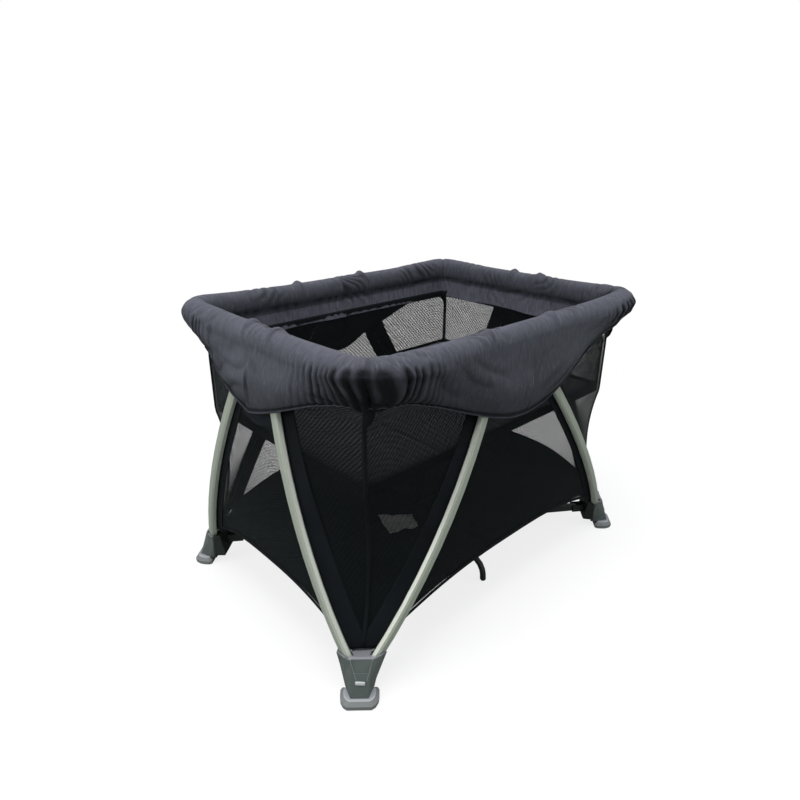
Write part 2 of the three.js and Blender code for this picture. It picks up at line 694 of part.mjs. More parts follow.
const longHub = sideHub({
  side: X, out: Y,
  plateAt: RAIL_Y - RAIL_R - CLEAR - HUB_PLATE,
  legAtHalf: LONG_HUB_LEG, railAtHalf: LONG_HUB_RAIL,
  legOut: longTopY - LEG_THICK / 2, railOut: RAIL_Y + RAIL_R,
});
add("long_hub_front", longHub, "moulding", 1, -1);
add("long_hub_back", longHub, "moulding", 1, 1);
const shortHub = sideHub({
  side: Y, out: X,
  plateAt: RAIL_X + RAIL_R + CLEAR,
  legAtHalf: SHORT_HUB_LEG, railAtHalf: SHORT_HUB_RAIL,
  legOut: shortTopX + LEG_THICK / 2, railOut: RAIL_X - RAIL_R,
});
add("short_hub_left", shortHub, "moulding", -1, 1);
add("short_hub_right", shortHub, "moulding", 1, 1);

// ---------------------------------------------------------------- rails and corner elbows
// A rail: a round tube with an eye at its hub end.
function rail(side, out, pivot, end, at) {
  const place = (along, o = 0) =>
    V(0, 0, RAIL_Z).addScaledVector(side, along).addScaledVector(out, at + o);
  const tube = bar(place(pivot), place(end), circle(RAIL_R, 12));
  const eye = pin(place(pivot, -RAIL_R * 0.9), place(pivot, RAIL_R * 0.9), RAIL_R + 1, 12);
  return cut(union(tube, eye), bore(place(pivot, -2 * RAIL_R), place(pivot, 2 * RAIL_R)));
}
const bendX = RAIL_X - RAIL_BEND;
const bendY = RAIL_Y - RAIL_BEND;
addQuarters("long_rail", rail(X, Y, LONG_HUB_RAIL, bendX, RAIL_Y), "steel");
addQuarters(
  "short_rail",
  rail(Y, X, SHORT_HUB_RAIL, bendY - ELBOW_END - RAIL_GAP, RAIL_X),
  "steel",
);

// Point and outward direction on the rail line round a corner, by angle from the short side.
function bend(degrees) {
  const out = V(Math.cos(rad(degrees)), Math.sin(rad(degrees)), 0);
  return { at: V(bendX, bendY, RAIL_Z).addScaledVector(out, RAIL_BEND), out };
}

function elbow() {
  const sections = [];
  const put = (origin, right, r) => sections.push({ outline: circle(r, 12), origin, right, up: Z });
  put(V(bendX + CLEAR, RAIL_Y, RAIL_Z), Y, ELBOW_R);
  for (let i = 1; i <= 8; i++) {
    const { at, out } = bend(90 - (90 * i) / 8);
    put(at, out, ELBOW_R);
  }
  put(V(RAIL_X, bendY - ELBOW_END, RAIL_Z), X, ELBOW_R);
  return skin(sections);
}
addQuarters("rail_elbow", elbow(), "moulding");

// ---------------------------------------------------------------- padded covers
// The section of a padded rail cover in its own (outward, height) plane: round padding over the
// rail, an outer skirt that starts at the brow and runs down to a hem, and an inner flap.
function coverSection({ outer, inner, crown, brow, hem, hemZ, flap, hollowOut, hollowIn, hollowTop }) {
  const points = [[hem + CLOTH, hemZ]];
  for (let i = 0; i <= 7; i++) {
    const a = rad(mix(brow, 180 + SHOULDER, i / 7));
    const r = Math.cos(a) > 0 ? outer : inner;
    points.push([r * Math.cos(a), RAIL_Z + (a > 0 && a < Math.PI ? crown : r) * Math.sin(a)]);
  }
  const [browOut, browZ] = points[1];
  const shoulder = RAIL_Z - PAD_R * Math.sin(rad(SHOULDER)) - 4;
  const skirtOut = mix(hem, browOut - CLOTH, (shoulder - 2 - hemZ) / (browZ - hemZ));
  points.push([flap, FLAP_Z], [flap + CLOTH, FLAP_Z], [Math.min(-hollowIn, flap + CLOTH), shoulder]);
  for (let i = 0; i <= 4; i++) {
    const a = Math.PI - (Math.PI * i) / 4;
    points.push([(Math.cos(a) > 0 ? hollowOut : hollowIn) * Math.cos(a), RAIL_Z + hollowTop * Math.sin(a)]);
  }
  points.push([hollowOut, shoulder + 3], [skirtOut, shoulder - 2], [hem, hemZ]);
  return points;
}

const hollow = ELBOW_R + 2 * CLEAR;
// How far outside the rail's axis the skirt's hem hangs to clear the legs, at the hubs.
const hemOutside = (family, z, axis) => legAt(family, z).out + LEG_THICK / 2 + 2 * CLEAR - axis;
const longHem = hemOutside(LONG, LONG_HEM_Z, RAIL_Y);
const shortHem = hemOutside(SHORT, SHORT_HEM_Z, RAIL_X);
const longInner = RAIL_Y - longTopY + LEG_THICK / 2 + CLEAR + CLOTH;
const shortOuter = shortTopX + LEG_THICK / 2 + 2 * CLEAR + CLOTH - RAIL_X;

const LONG_COVER = {
  outer: PAD_R, inner: longInner, crown: LONG_CROWN, brow: -SHOULDER,
  hem: longHem, hemZ: LONG_HEM_Z, flap: -longInner,
  hollowOut: hollow, hollowIn: hollow, hollowTop: hollow,
};
const SHORT_COVER = {
  outer: shortOuter, inner: PAD_R, crown: SHORT_CROWN, brow: -SHOULDER,
  hem: shortHem, hemZ: SHORT_HEM_Z, flap: -PAD_R,
  hollowOut: hollow, hollowIn: hollow, hollowTop: hollow,
};
const seam = V(CORNER_SEAM_X - bendX, CORNER_SEAM_Y - bendY, 0).length();
const CORNER_COVER = {
  outer: CORNER_REACH, inner: PAD_R, crown: CORNER_CROWN, brow: CORNER_BROW,
  hem: seam - RAIL_BEND, hemZ: CORNER_HEM_Z, flap: -PAD_R,
  hollowOut: hollow + 1, hollowIn: hollow + 1, hollowTop: hollow + 1,
};
const blend = (a, b, t) => Object.fromEntries(Object.keys(a).map((k) => [k, mix(a[k], b[k], t)]));
const ease = (t) => t * t * (3 - 2 * t);
// The hem rises in one curve from the middle of a side to the corner.
const hemAt = (cover, along, seamAt) => mix(cover.hemZ, CORNER_HEM_Z, ease(Math.min(1, along / seamAt)));

// The share of the corner's section that a rail's cover has reached at a place along it.
const cornerShare = (along, from, to) =>
  CORNER_SHARE * Math.max(0, (along - from - SKIRT_HOLD) / (to - from - SKIRT_HOLD)) ** 1.6;

function railCover(side, out, axis, seamAt, cover, from, to, steps, toBend) {
  const sections = [];
  for (let i = 0; i <= steps; i++) {
    const along = mix(from, to, i / steps);
    const t = cornerShare(along, from, to);
    const hemZ = hemAt(cover, along, seamAt);
    sections.push({
      outline: coverSection({ ...blend(cover, CORNER_COVER, t), hemZ }),
      origin: V(0, 0, 0).addScaledVector(side, along).addScaledVector(out, axis),
      right: out,
      up: Z,
    });
  }
  if (toBend) {
    for (let i = 1; i <= 6; i++) {
      const { at, out: away } = bend(90 - (90 * i) / 6);
      const t = mix(CORNER_SHARE, 1, Math.sin(Math.PI * (i / 6)));
      const nearest = i <= 3 ? cover : SHORT_COVER;
      sections.push({
        outline: coverSection({ ...blend(nearest, CORNER_COVER, t), hemZ: CORNER_HEM_Z }),
        origin: at.clone().setZ(0), right: away, up: Z,
      });
    }
  }
  return skin(sections);
}
addQuarters(
  "long_cover",
  railCover(X, Y, RAIL_Y, CORNER_SEAM_X, LONG_COVER, LONG_HUB_COVER + CLEAR, bendX, 5, true),
  "cloth",
);
addQuarters(
  "short_cover",
  railCover(Y, X, RAIL_X, CORNER_SEAM_Y, SHORT_COVER, SHORT_HUB_COVER + CLEAR, bendY - CLEAR, 5, false),
  "cloth",
);

// ---------------------------------------------------------------- walls
const wallBack = LEG_THICK / 2 + DRAPE; // from a leg's centreline to the cloth behind it
const wallOut = (family, z, thickness = 3) => legAt(family, z).out - wallBack - thickness / 2;
const WALL = 3;

// The wall between the two legs of a side, with the cover over the side's hub.
function sidePanel(family, axis, seamAt, archZ, cover, half) {
  const topZ = FLAP_Z + 6;
  const { outer: outerShell, inner: innerShell } = cover;
  const flapAt = axis - innerShell + CLOTH / 2;
  const wall = sheet(WALL, 8, 7, (u, v) => {
    const across = 2 * u - 1;
    const low = mix(archZ, WALL_FOOT_Z, Math.abs(across) ** 3);
    const z = mix(low, topZ, v);
    const edge = legAt(family, z).along - 1;
    // above the hem the wall leaves the legs and runs up to the inner flap
    const t = ease(Math.max(0, (z - cover.hemZ) / (topZ - cover.hemZ)));
    return V(0, 0, z)
      .addScaledVector(family.side, across * edge)
      .addScaledVector(family.out, mix(wallOut(family, z), flapAt, t));
  });
  const shell = {
    ...cover,
    hollowOut: outerShell - CLOTH, hollowIn: innerShell - CLOTH, hollowTop: cover.crown - CLOTH,
  };
  const hubCover = skin([-1, -0.5, 0, 0.5, 1].map((t) => ({
    outline: coverSection({ ...shell, hemZ: hemAt(cover, Math.abs(t) * half, seamAt) }),
    origin: V(0, 0, 0).addScaledVector(family.side, t * half).addScaledVector(family.out, axis),
    right: family.out,
    up: Z,
  })));
  return union(wall, hubCover);
}
const longPanel = sidePanel(LONG, RAIL_Y, CORNER_SEAM_X, LONG_ARCH_Z, LONG_COVER, LONG_HUB_COVER);
const shortPanel = sidePanel(SHORT, RAIL_X, CORNER_SEAM_Y, SHORT_ARCH_Z, SHORT_COVER, SHORT_HUB_COVER);
add("side_panel_front", longPanel, "mesh", 1, -1);
add("side_panel_back", longPanel, "mesh", 1, 1);
add("side_panel_left", shortPanel, "mesh", -1, 1);
add("side_panel_right", shortPanel, "mesh", 1, 1);

// The corner's mesh spans from the long side's leg round the corner seam to the short side's leg.
// Its upper edge is tucked up between the covers' skirt and their inner flap.
function cornerPanel() {
  const bottom = SOCKET_TOP_Z + 2;
  const knee = FLAP_Z - 28; // where the cloth starts to leave the insert's side
  const tucked = FLAP_Z - 5;
  const seamOut = V(CORNER_SEAM_X - bendX, CORNER_SEAM_Y - bendY, 0).normalize();
  // outside the long cover's flap, at a place along the side
  const behindFlap = (along) => {
    const share = cornerShare(along, LONG_HUB_COVER, bendX);
    return RAIL_Y - mix(longInner, PAD_R - CORNER_EASE, share) + CLOTH + WALL / 2 + 3 * CLEAR;
  };
  const rows = 11;
  return sheet(WALL, 8, rows, (u, v) => {
    const t = Math.sign(2 * u - 1) * Math.abs(2 * u - 1) ** 1.8; // narrow stations by the seam
    const run = Math.abs(t);
    const top = mix(FLAP_Z + PANEL_TUCK, FLAP_Z - 2 * CLEAR, ease(Math.min(1, run / 0.6)));
    // even rows up to the knee, then one to where it is tucked and one to the upper edge
    const row = v * rows;
    let z = mix(bottom, knee, Math.min(1, row / (rows - 2)));
    if (row > rows - 2) z = mix(knee, tucked, Math.min(1, row - rows + 2));
    if (row > rows - 1) z = mix(tucked, top, row - rows + 1);
    const tuck = Math.min(1, Math.max(0, (z - knee) / (tucked - knee)));
    const one = legAt(LONG, z);
    const other = legAt(SHORT, z);
    const from = V(one.along + 1, wallOut(LONG, z), z);
    const to = V(wallOut(SHORT, z), other.along + 1, z);
    // the seam runs straight from between the legs' feet up to the corner of the bassinet's tray
    const drop = Math.min(1, (z - bottom) / (TRAY_Z - bottom));
    const seamAt = V(
      mix((from.x + to.x) / 2, CORNER_SEAM_X, drop),
      mix((from.y + to.y) / 2, CORNER_SEAM_Y, drop),
      z,
    ).addScaledVector(seamOut, -SEAM_PULL * tuck);
    const at = seamAt.lerp(t < 0 ? from : to, run);
    if (t < 0 && run < 0.7) at.y = mix(at.y, behindFlap(at.x), tuck);
    return at;
  });
}
addQuarters("corner_panel", cornerPanel(), "mesh");

// The floor cloth hangs between the walls' lower edges and rests low over the base; its corners
// are cut off by the corner panels.
function floorCloth() {
  const edge = (WALL + FLOOR_THICK) / 2 + CLEAR;
  // the height of the floor's edge and its distance from the middle, along a side
  const edgeZ = (family, archZ, along) => FLOOR_OVERLAP
    + mix(archZ, WALL_FOOT_Z, Math.min(1, Math.abs(along) / legAt(family, WALL_FOOT_Z).along) ** 3);
  const edgeOut = (family, archZ, along) => wallOut(family, edgeZ(family, archZ, along)) - edge;
  const cornered = (t) => ease(Math.max(0, (Math.abs(t) - 0.88) / 0.12));
  // level in the middle, then up to 1 at the edge
  const nearEdge = (t) => Math.max(0, (Math.abs(t) - FLOOR_LEVEL) / (1 - FLOOR_LEVEL)) ** 4;
  return sheet(FLOOR_THICK, 8, 8, (u, v) => {
    const a = 2 * u - 1;
    const b = 2 * v - 1;
    const [alongX, alongY] = [a * FLOOR_CORNER_X, b * FLOOR_CORNER_Y];
    const [nearA, nearB] = [nearEdge(a), nearEdge(b)];
    const rise = nearB * (edgeZ(LONG, LONG_ARCH_Z, alongX) - FLOOR_Z)
      + nearA * (edgeZ(SHORT, SHORT_ARCH_Z, alongY) - FLOOR_Z)
      - nearA * nearB * (WALL_FOOT_Z + FLOOR_OVERLAP - FLOOR_Z);
    return V(
      a * mix(edgeOut(SHORT, SHORT_ARCH_Z, alongY), FLOOR_CORNER_X, cornered(b)),
      b * mix(edgeOut(LONG, LONG_ARCH_Z, alongX), FLOOR_CORNER_Y, cornered(a)),
      FLOOR_Z + FLOOR_THICK / 2 + rise,
    );
  });
}
add("floor_cloth", floorCloth(), "cloth");

// ---------------------------------------------------------------- bassinet insert and mattress
const insertLow = { x: CORNER_SEAM_X - 4, y: CORNER_SEAM_Y - 4 };
const insertTop = { x: RAIL_X - PAD_R - 2 * CLEAR, y: insertLow.y };

// The insert's walls stand upright and draw in below the covers' inner flaps.
function insertRing(z, inset) {
  const t = THREE.MathUtils.clamp((z - FLAP_Z + 30) / 24, 0, 1);
  return {
    outline: roundedRectangle(
      2 * (mix(insertLow.x, insertTop.x, t) - inset),
      2 * (mix(insertLow.y, insertTop.y, t) - inset),
      mix(9, 28, t) - inset,
      2,
    ),
    origin: V(0, 0, z), right: X, up: Y,
  };
}
const insertHeights = [FLAP_Z - 30, FLAP_Z - 6];
const insertOuter = skin([TRAY_Z, ...insertHeights, INSERT_TOP_Z].map((z) => insertRing(z, 0)));
const insertInner = skin(
  [TRAY_Z + TRAY_THICK, ...insertHeights, INSERT_TOP_Z + 1].map((z) => insertRing(z, INSERT_WALL)),
);
add("bassinet_insert", cut(insertOuter, insertInner), "mesh");

function mattressPad() {
  const z = TRAY_Z + TRAY_THICK + CLEAR;
  const ring = (at, inset) => ({
    outline: roundedRectangle(
      2 * (insertLow.x - MATTRESS_INSET - inset), 2 * (insertLow.y - MATTRESS_INSET - inset), 30, 3,
    ),
    origin: V(0, 0, z + at), right: X, up: Y,
  });
  return skin([
    ring(0, 4), ring(4, 0), ring(MATTRESS_THICK - 5, 0), ring(MATTRESS_THICK, 5),
  ]);
}
add("mattress_pad", mattressPad(), "pad");

export default playpen;
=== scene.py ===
import math

import bmesh
import bpy
import numpy as np
from mathutils import Matrix, Vector, noise


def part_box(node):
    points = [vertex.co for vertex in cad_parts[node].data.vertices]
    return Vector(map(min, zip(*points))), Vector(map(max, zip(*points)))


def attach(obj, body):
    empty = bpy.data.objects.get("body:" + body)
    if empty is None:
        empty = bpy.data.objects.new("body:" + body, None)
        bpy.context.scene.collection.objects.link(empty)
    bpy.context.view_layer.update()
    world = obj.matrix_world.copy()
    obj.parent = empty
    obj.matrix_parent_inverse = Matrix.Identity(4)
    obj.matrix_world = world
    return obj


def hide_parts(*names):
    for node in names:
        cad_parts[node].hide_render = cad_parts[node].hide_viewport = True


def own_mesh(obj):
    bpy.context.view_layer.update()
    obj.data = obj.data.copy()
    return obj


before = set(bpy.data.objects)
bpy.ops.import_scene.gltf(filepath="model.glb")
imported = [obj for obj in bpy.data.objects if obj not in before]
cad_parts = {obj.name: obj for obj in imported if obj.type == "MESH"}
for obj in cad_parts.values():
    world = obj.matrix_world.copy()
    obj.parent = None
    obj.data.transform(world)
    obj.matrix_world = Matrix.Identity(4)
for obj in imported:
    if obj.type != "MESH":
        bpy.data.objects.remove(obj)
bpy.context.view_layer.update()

# ---------------------------------------------------------------- studio
# The camera looks down on the playpen from off one corner, a little over its top. The floor is a
# plain pale sheet and the light a broad soft box overhead with a weaker one at each side.
EYE = Vector((-1.1314, -1.1288, 1.1253))
HEADING, DIP, LEAN = 0.8132, 0.3875, 0.0058  # the camera's turn, downward look and sideways lean
LENS = 26.91
ahead = Vector((math.cos(HEADING) * math.cos(DIP), math.sin(HEADING) * math.cos(DIP), -math.sin(DIP)))
level = Vector((math.sin(HEADING), -math.cos(HEADING), 0))
upright = level.cross(ahead)
right = level * math.cos(LEAN) + upright * math.sin(LEAN)
top = upright * math.cos(LEAN) - level * math.sin(LEAN)

camera = bpy.data.objects.new("camera", bpy.data.cameras.new("camera"))
bpy.context.scene.collection.objects.link(camera)
camera.matrix_world = Matrix.Translation(EYE) @ Matrix((right, top, -ahead)).transposed().to_4x4()
camera.data.lens = LENS
bpy.context.scene.camera = camera
bpy.context.scene.view_settings.view_transform = "Standard"


def soft_box(name, place, towards, size, watts):
    lamp = bpy.data.lights.new(name, "AREA")
    lamp.shape, lamp.size, lamp.energy = "DISK", size, watts
    lamp_object = bpy.data.objects.new(name, lamp)
    bpy.context.scene.collection.objects.link(lamp_object)
    lamp_object.location = place
    lamp_object.rotation_euler = (Vector(towards) - Vector(place)).to_track_quat("-Z", "Y").to_euler()


soft_box("overhead_light", (-0.5, -0.2, 3.0), (0, 0, 0.4), 2.2, 100)
soft_box("left_light", (-2.6, 0.3, 1.7), (0, 0, 0.5), 1.4, 26)
soft_box("right_light", (1.2, -2.7, 2.3), (0, 0, 0.5), 1.6, 20)


def feed(node, *values, **named):
    """Link a node's inputs to sockets or set them, in turn or by name with _ for a space."""
    for label, value in [*enumerate(values), *named.items()]:
        socket = node.inputs[label.replace("_", " ") if isinstance(label, str) else label]
        if isinstance(value, bpy.types.NodeSocket):
            node.id_data.links.new(value, socket)
        else:
            socket.default_value = value


def new_node(tree, kind, *values, **named):
    """A shader node. Its inputs are fed as above, and a name in small letters is a setting."""
    node = tree.nodes.new("ShaderNode" + kind)
    for name in [name for name in named if name.islower()]:
        setattr(node, name, named.pop(name))
    feed(node, *values, **named)
    return node


def calc(tree, operation, *values, **settings):
    """What a sum such as MULTIPLY makes of its values, which are sockets or numbers."""
    return new_node(tree, "Math", *values, operation=operation, **settings).outputs[0]


def between(tree, value, low, high, from_value, to_value, curve="SMOOTHSTEP"):
    """value stretched from low..high to from_value..to_value, smoothly or LINEAR."""
    stretch = (value, low, high, from_value, to_value)
    return new_node(tree, "MapRange", *stretch, interpolation_type=curve).outputs[0]


def length_of(tree, vector):
    return new_node(tree, "VectorMath", vector, operation="LENGTH").outputs["Value"]


def two_tones(tree, mask, one, other):
    """A colour that goes from one to other with the mask."""
    tones = new_node(tree, "Mix", data_type="RGBA", A=(*one, 1), B=(*other, 1), Factor=mask)
    return tones.outputs["Result"]


def new_material(name, **plain):
    """A material and its Principled shader, with plain values set on the shader's own sockets."""
    material = bpy.data.materials.new(name)
    material.use_nodes = True
    shader = material.node_tree.nodes["Principled BSDF"]
    feed(shader, **plain)
    return material, shader


def seen_directly(tree):
    """One for a ray from the camera or through glass, and nothing for light that lights things."""
    path = new_node(tree, "LightPath").outputs
    return calc(tree, "ADD", path["Is Camera Ray"], path["Is Transmission Ray"], use_clamp=True)


world = bpy.data.worlds.new("studio")
bpy.context.scene.world = world
world.use_nodes = True
tree = world.node_tree
apart = new_node(tree, "SeparateXYZ", new_node(tree, "TexCoord").outputs["Generated"])
overhead = between(tree, apart.outputs["Z"], 0.0, 0.9, 0.16, 0.75, "LINEAR")
soft, white = tree.nodes["Background"], new_node(tree, "Background", (1, 1, 1, 1))
feed(soft, (0.94, 0.97, 1, 1), overhead)
mixed = new_node(tree, "MixShader", seen_directly(tree), soft.outputs[0], white.outputs[0])
feed(tree.nodes["World Output"], Surface=mixed.outputs[0])

bpy.ops.mesh.primitive_plane_add(size=30)
floor = bpy.context.object
floor.name = "floor"
material, shader = new_material("pale_floor", Roughness=0.9)
tree = material.node_tree
direct = seen_directly(tree)
feed(shader, Base_Color=two_tones(tree, direct, (0.26, 0.28, 0.26), (0.86, 0.86, 0.86)))
away = length_of(tree, new_node(tree, "TexCoord").outputs["Object"])
glowing = calc(tree, "MULTIPLY", between(tree, away, 0.9, 2.2, 0.8, 1.0, "LINEAR"), direct)
mixed = new_node(tree, "MixShader", glowing, shader.outputs[0], new_node(tree, "Emission").outputs[0])
feed(tree.nodes["Material Output"], Surface=mixed.outputs[0])
floor.data.materials.append(material)


# ---------------------------------------------------------------- feet
# Each foot is a dark grey moulded shell that widens to a broad toe, with a paler rim and shelf where the
# legs enter, a pale push button low on its face and a light grey rubber pad under it.
QUADRANTS = {
    "front_left": (-1, -1), "front_right": (1, -1), "back_left": (-1, 1), "back_right": (1, 1),
}
FOOT = Vector((0.493, 0.335))  # middle of a foot, between its legs' pivots
FACE_TURN = math.radians(42)
FACE_LOW, FACE_HIGH = (0.048, 0.0223), (0.020, 0.106)  # way out and height of the face's two ends
PANEL_HALF, PANEL_LOW_Z, PANEL_SPLAY = 0.0113, 0.059, 0.30  # the sunk panel, narrowest at its foot
RIM_Z, SHELF_Z, SHELF_HALF = 0.1042, 0.0995, 0.0205
SCREW_ACROSS, SCREW_Z, SCREW_RADIUS = 0.0485, 0.0945, 0.0018
PAD_HIGHLIGHT_TOP_Z, PAD_SHADE_TOP_Z = 0.0212, 0.0198  # the rubber has a painted highlight between these and painted shade below the lower
BUTTON_SIZE, BUTTON_ROUND, BUTTON_UP = (0.0225, 0.0084, 0.0056), 0.0026, 0.0341
# the toe's corners from its back to its front, as half width and way out, low down and at its top
TOE_LOW = ((0.0365, -0.0060), (0.0330, 0.0140), (0.0200, 0.0482))
TOE_TOP = ((0.0492, -0.0048), (0.0353, 0.0163), (0.0206, 0.0299))
TOE_LOW_Z, TOE_TOP_Z = 0.0224, 0.0755
TOE_LOW_SHIFT, TOE_TOP_SHIFT = 0.005, 0.0018  # sideways, towards the short side's leg


def effect_group(name, inputs, outputs):
    """A shader node group of numbers: inputs with their defaults, and outputs."""
    group = bpy.data.node_groups.new(name, "ShaderNodeTree")
    for label, value in inputs.items():
        socket = group.interface.new_socket(label, in_out="INPUT", socket_type="NodeSocketFloat")
        socket.default_value = value
    for label in outputs:
        group.interface.new_socket(label, in_out="OUTPUT", socket_type="NodeSocketFloat")
    return group, group.nodes.new("NodeGroupInput").outputs, group.nodes.new("NodeGroupOutput")


# grain: fine moulded pebble as a height, and a slow mottling of the colour
grain, given, made = effect_group("moulded_grain", {"Scale": 900.0}, ("Height", "Mottle"))
where = new_node(grain, "TexCoord").outputs["Object"]
pebbles = new_node(grain, "TexNoise", Vector=where, Scale=given["Scale"])
cloudy = new_node(grain, "TexNoise", Vector=where, Scale=14, Detail=4)
feed(made, pebbles.outputs["Fac"], between(grain, cloudy.outputs["Fac"], 0.3, 0.7, 0, 1))


def finish(shader, mottle, tones, roughness, uneven, **bump):
    """Two close tones that go with a mottling, a gloss that is uneven with it, and a raised surface."""
    tree = shader.id_data
    dull = between(tree, mottle, 0, 1, roughness, roughness + uneven)
    feed(shader, Base_Color=two_tones(tree, mottle, *tones), Roughness=dull)
    feed(shader, Normal=new_node(tree, "Bump", **bump).outputs["Normal"])


def grained(name, one, other, roughness, depth=0.0002, scale=900.0):
    """A moulded or painted finish: two close tones, fine grain and uneven gloss."""
    material, shader = new_material(name)
    effect = new_node(material.node_tree, "Group", node_tree=grain, Scale=scale).outputs
    finish(shader, effect["Mottle"], (one, other), roughness, 0.08,
           Height=effect["Height"], Distance=depth, Strength=0.6)
    return material


def dress(kinds, material):
    """Give a material to the solids whose names start with a kind, or with any of several."""
    for name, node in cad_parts.items():
        if name.startswith(kinds):
            node.data.materials.clear()
            node.data.materials.append(material)


def foot_point(quadrant, across, out, z):
    """A place on a foot: across its face, out of its middle, and its height."""
    sx, sy = QUADRANTS[quadrant]
    return Vector((
        sx * (FOOT.x + across * math.cos(FACE_TURN) + out * math.sin(FACE_TURN)),
        sy * (FOOT.y - across * math.sin(FACE_TURN) + out * math.cos(FACE_TURN)), z,
    ))


def place_along(tree, way):
    """How far a place lies along a direction, when it is mirrored into the back right quarter."""
    place = new_node(tree, "TexCoord").outputs["Object"]
    mirrored = new_node(tree, "VectorMath", place, operation="ABSOLUTE").outputs[0]
    return new_node(tree, "VectorMath", mirrored, way, operation="DOT_PRODUCT").outputs["Value"]


def over_tone(material, mask, tone):
    """Lay another colour over the one a material has, where the mask is one."""
    shader = material.node_tree.nodes["Principled BSDF"]
    below = shader.inputs["Base Color"].links[0].from_socket
    laid = new_node(material.node_tree, "Mix", data_type="RGBA", A=below, B=(*tone, 1), Factor=mask)
    feed(shader, Base_Color=laid.outputs["Result"])


def all_of(tree, mask, *others):
    """The part that all the masks share."""
    for other in others:
        mask = calc(tree, "MULTIPLY", mask, other)
    return mask


foot_shell = grained("foot_shell_plastic", (0.072, 0.088, 0.084), (0.098, 0.116, 0.11), 0.5)
tree = foot_shell.node_tree
out_way = Vector((math.sin(FACE_TURN), math.cos(FACE_TURN), 0))
across_way = Vector((math.cos(FACE_TURN), -math.sin(FACE_TURN), 0))
middle = Vector((FOOT.x, FOOT.y, 0))
out = calc(tree, "SUBTRACT", place_along(tree, out_way), middle.dot(out_way))
across = calc(tree, "SUBTRACT", place_along(tree, across_way), middle.dot(across_way))
off_middle = calc(tree, "ABSOLUTE", across)
height = place_along(tree, (0, 0, 1))
# painted shade: the hollow back of the shell is darkened nearly black, tinted green as a painted reflection
sloped_out = calc(tree, "MULTIPLY_ADD", height, 0.14, out)
over_tone(foot_shell, between(tree, sloped_out, 0.002, 0.007, 1, 0), (0.007, 0.013, 0.010))
# painted highlight along the sunk panel's two sides; the rim and the shelf between the legs are paler
splayed = calc(tree, "MULTIPLY_ADD", height, -PANEL_SPLAY, off_middle)
panel_edge = calc(tree, "SUBTRACT", splayed, PANEL_HALF - PANEL_SPLAY * PANEL_LOW_Z)
over_tone(foot_shell, all_of(
    tree, between(tree, calc(tree, "ABSOLUTE", panel_edge), 0.0004, 0.0012, 1, 0),
    between(tree, height, PANEL_LOW_Z - 0.002, PANEL_LOW_Z + 0.002, 0, 1),
    between(tree, out, 0.012, 0.016, 0, 1),
), (0.17, 0.19, 0.19))
over_tone(foot_shell, all_of(
    tree, between(tree, height, RIM_Z, RIM_Z + 0.0005, 0, 1), between(tree, out, -0.008, -0.006, 0, 1),
), (0.21, 0.215, 0.235))
over_tone(foot_shell, all_of(
    tree, between(tree, height, SHELF_Z, SHELF_Z + 0.001, 0, 1),
    between(tree, off_middle, SHELF_HALF, SHELF_HALF + 0.001, 1, 0), between(tree, out, 0.0125, 0.013, 1, 0),
), (0.145, 0.15, 0.165))
# painted shade: a dark disc under each end of the rim stands in for the shade in a screw recess
for side in (-1, 1):
    off_screw = new_node(
        tree, "CombineXYZ", calc(tree, "SUBTRACT", across, side * SCREW_ACROSS),
        calc(tree, "SUBTRACT", height, SCREW_Z),
    )
    off_screw = length_of(tree, off_screw.outputs[0])
    hole = between(tree, off_screw, SCREW_RADIUS, SCREW_RADIUS + 0.0008, 1, 0)
    over_tone(foot_shell, hole, (0.012, 0.014, 0.014))

foot_rubber = grained("foot_pad_rubber", (0.25, 0.262, 0.28), (0.29, 0.302, 0.32), 0.7, 0.0004, 500)
tree = foot_rubber.node_tree
height = place_along(tree, (0, 0, 1))
# painted highlight on the pad's upper bevel, then painted shade on its side below
over_tone(foot_rubber, between(tree, height, PAD_HIGHLIGHT_TOP_Z, PAD_HIGHLIGHT_TOP_Z + 0.0004, 1, 0), (0.42, 0.43, 0.45))
over_tone(foot_rubber, between(tree, height, PAD_SHADE_TOP_Z, PAD_SHADE_TOP_Z + 0.0008, 1, 0), (0.16, 0.17, 0.17))
button_plastic = grained("button_plastic", (0.42, 0.43, 0.44), (0.48, 0.49, 0.50), 0.4)


def face_button(quadrant):
    """The pale rounded push button over the lower end of the sunk panel."""
    low_end, high_end = foot_point(quadrant, TOE_LOW_SHIFT, *FACE_LOW), foot_point(quadrant, 0, *FACE_HIGH)
    slope = (high_end - low_end).normalized()
    sideways = (foot_point(quadrant, 1, 0, 0) - foot_point(quadrant, 0, 0, 0)).normalized()
    sideways = (sideways - slope * sideways.dot(slope)).normalized()
    facing = sideways.cross(slope)
    if facing.dot(foot_point(quadrant, 0, 1, 0) - foot_point(quadrant, 0, 0, 0)) < 0:
        sideways, facing = -sideways, -facing
    bpy.ops.mesh.primitive_cube_add(size=1)
    piece = bpy.context.object
    piece.name = f"foot_button_{quadrant}"
    piece.scale = BUTTON_SIZE
    bpy.ops.object.transform_apply(location=False, rotation=False, scale=True)
    edges = piece.modifiers.new("round_edges", "BEVEL")
    edges.width, edges.segments = BUTTON_ROUND, 4
    bpy.ops.object.modifier_apply(modifier=edges.name)
    turn = Matrix((sideways, slope, facing)).transposed().to_4x4()
    piece.matrix_world = Matrix.Translation(low_end + slope * BUTTON_UP) @ turn
    bpy.ops.object.transform_apply(location=True, rotation=True, scale=True)
    bpy.ops.object.shade_smooth_by_angle(angle=math.radians(40))
    return piece


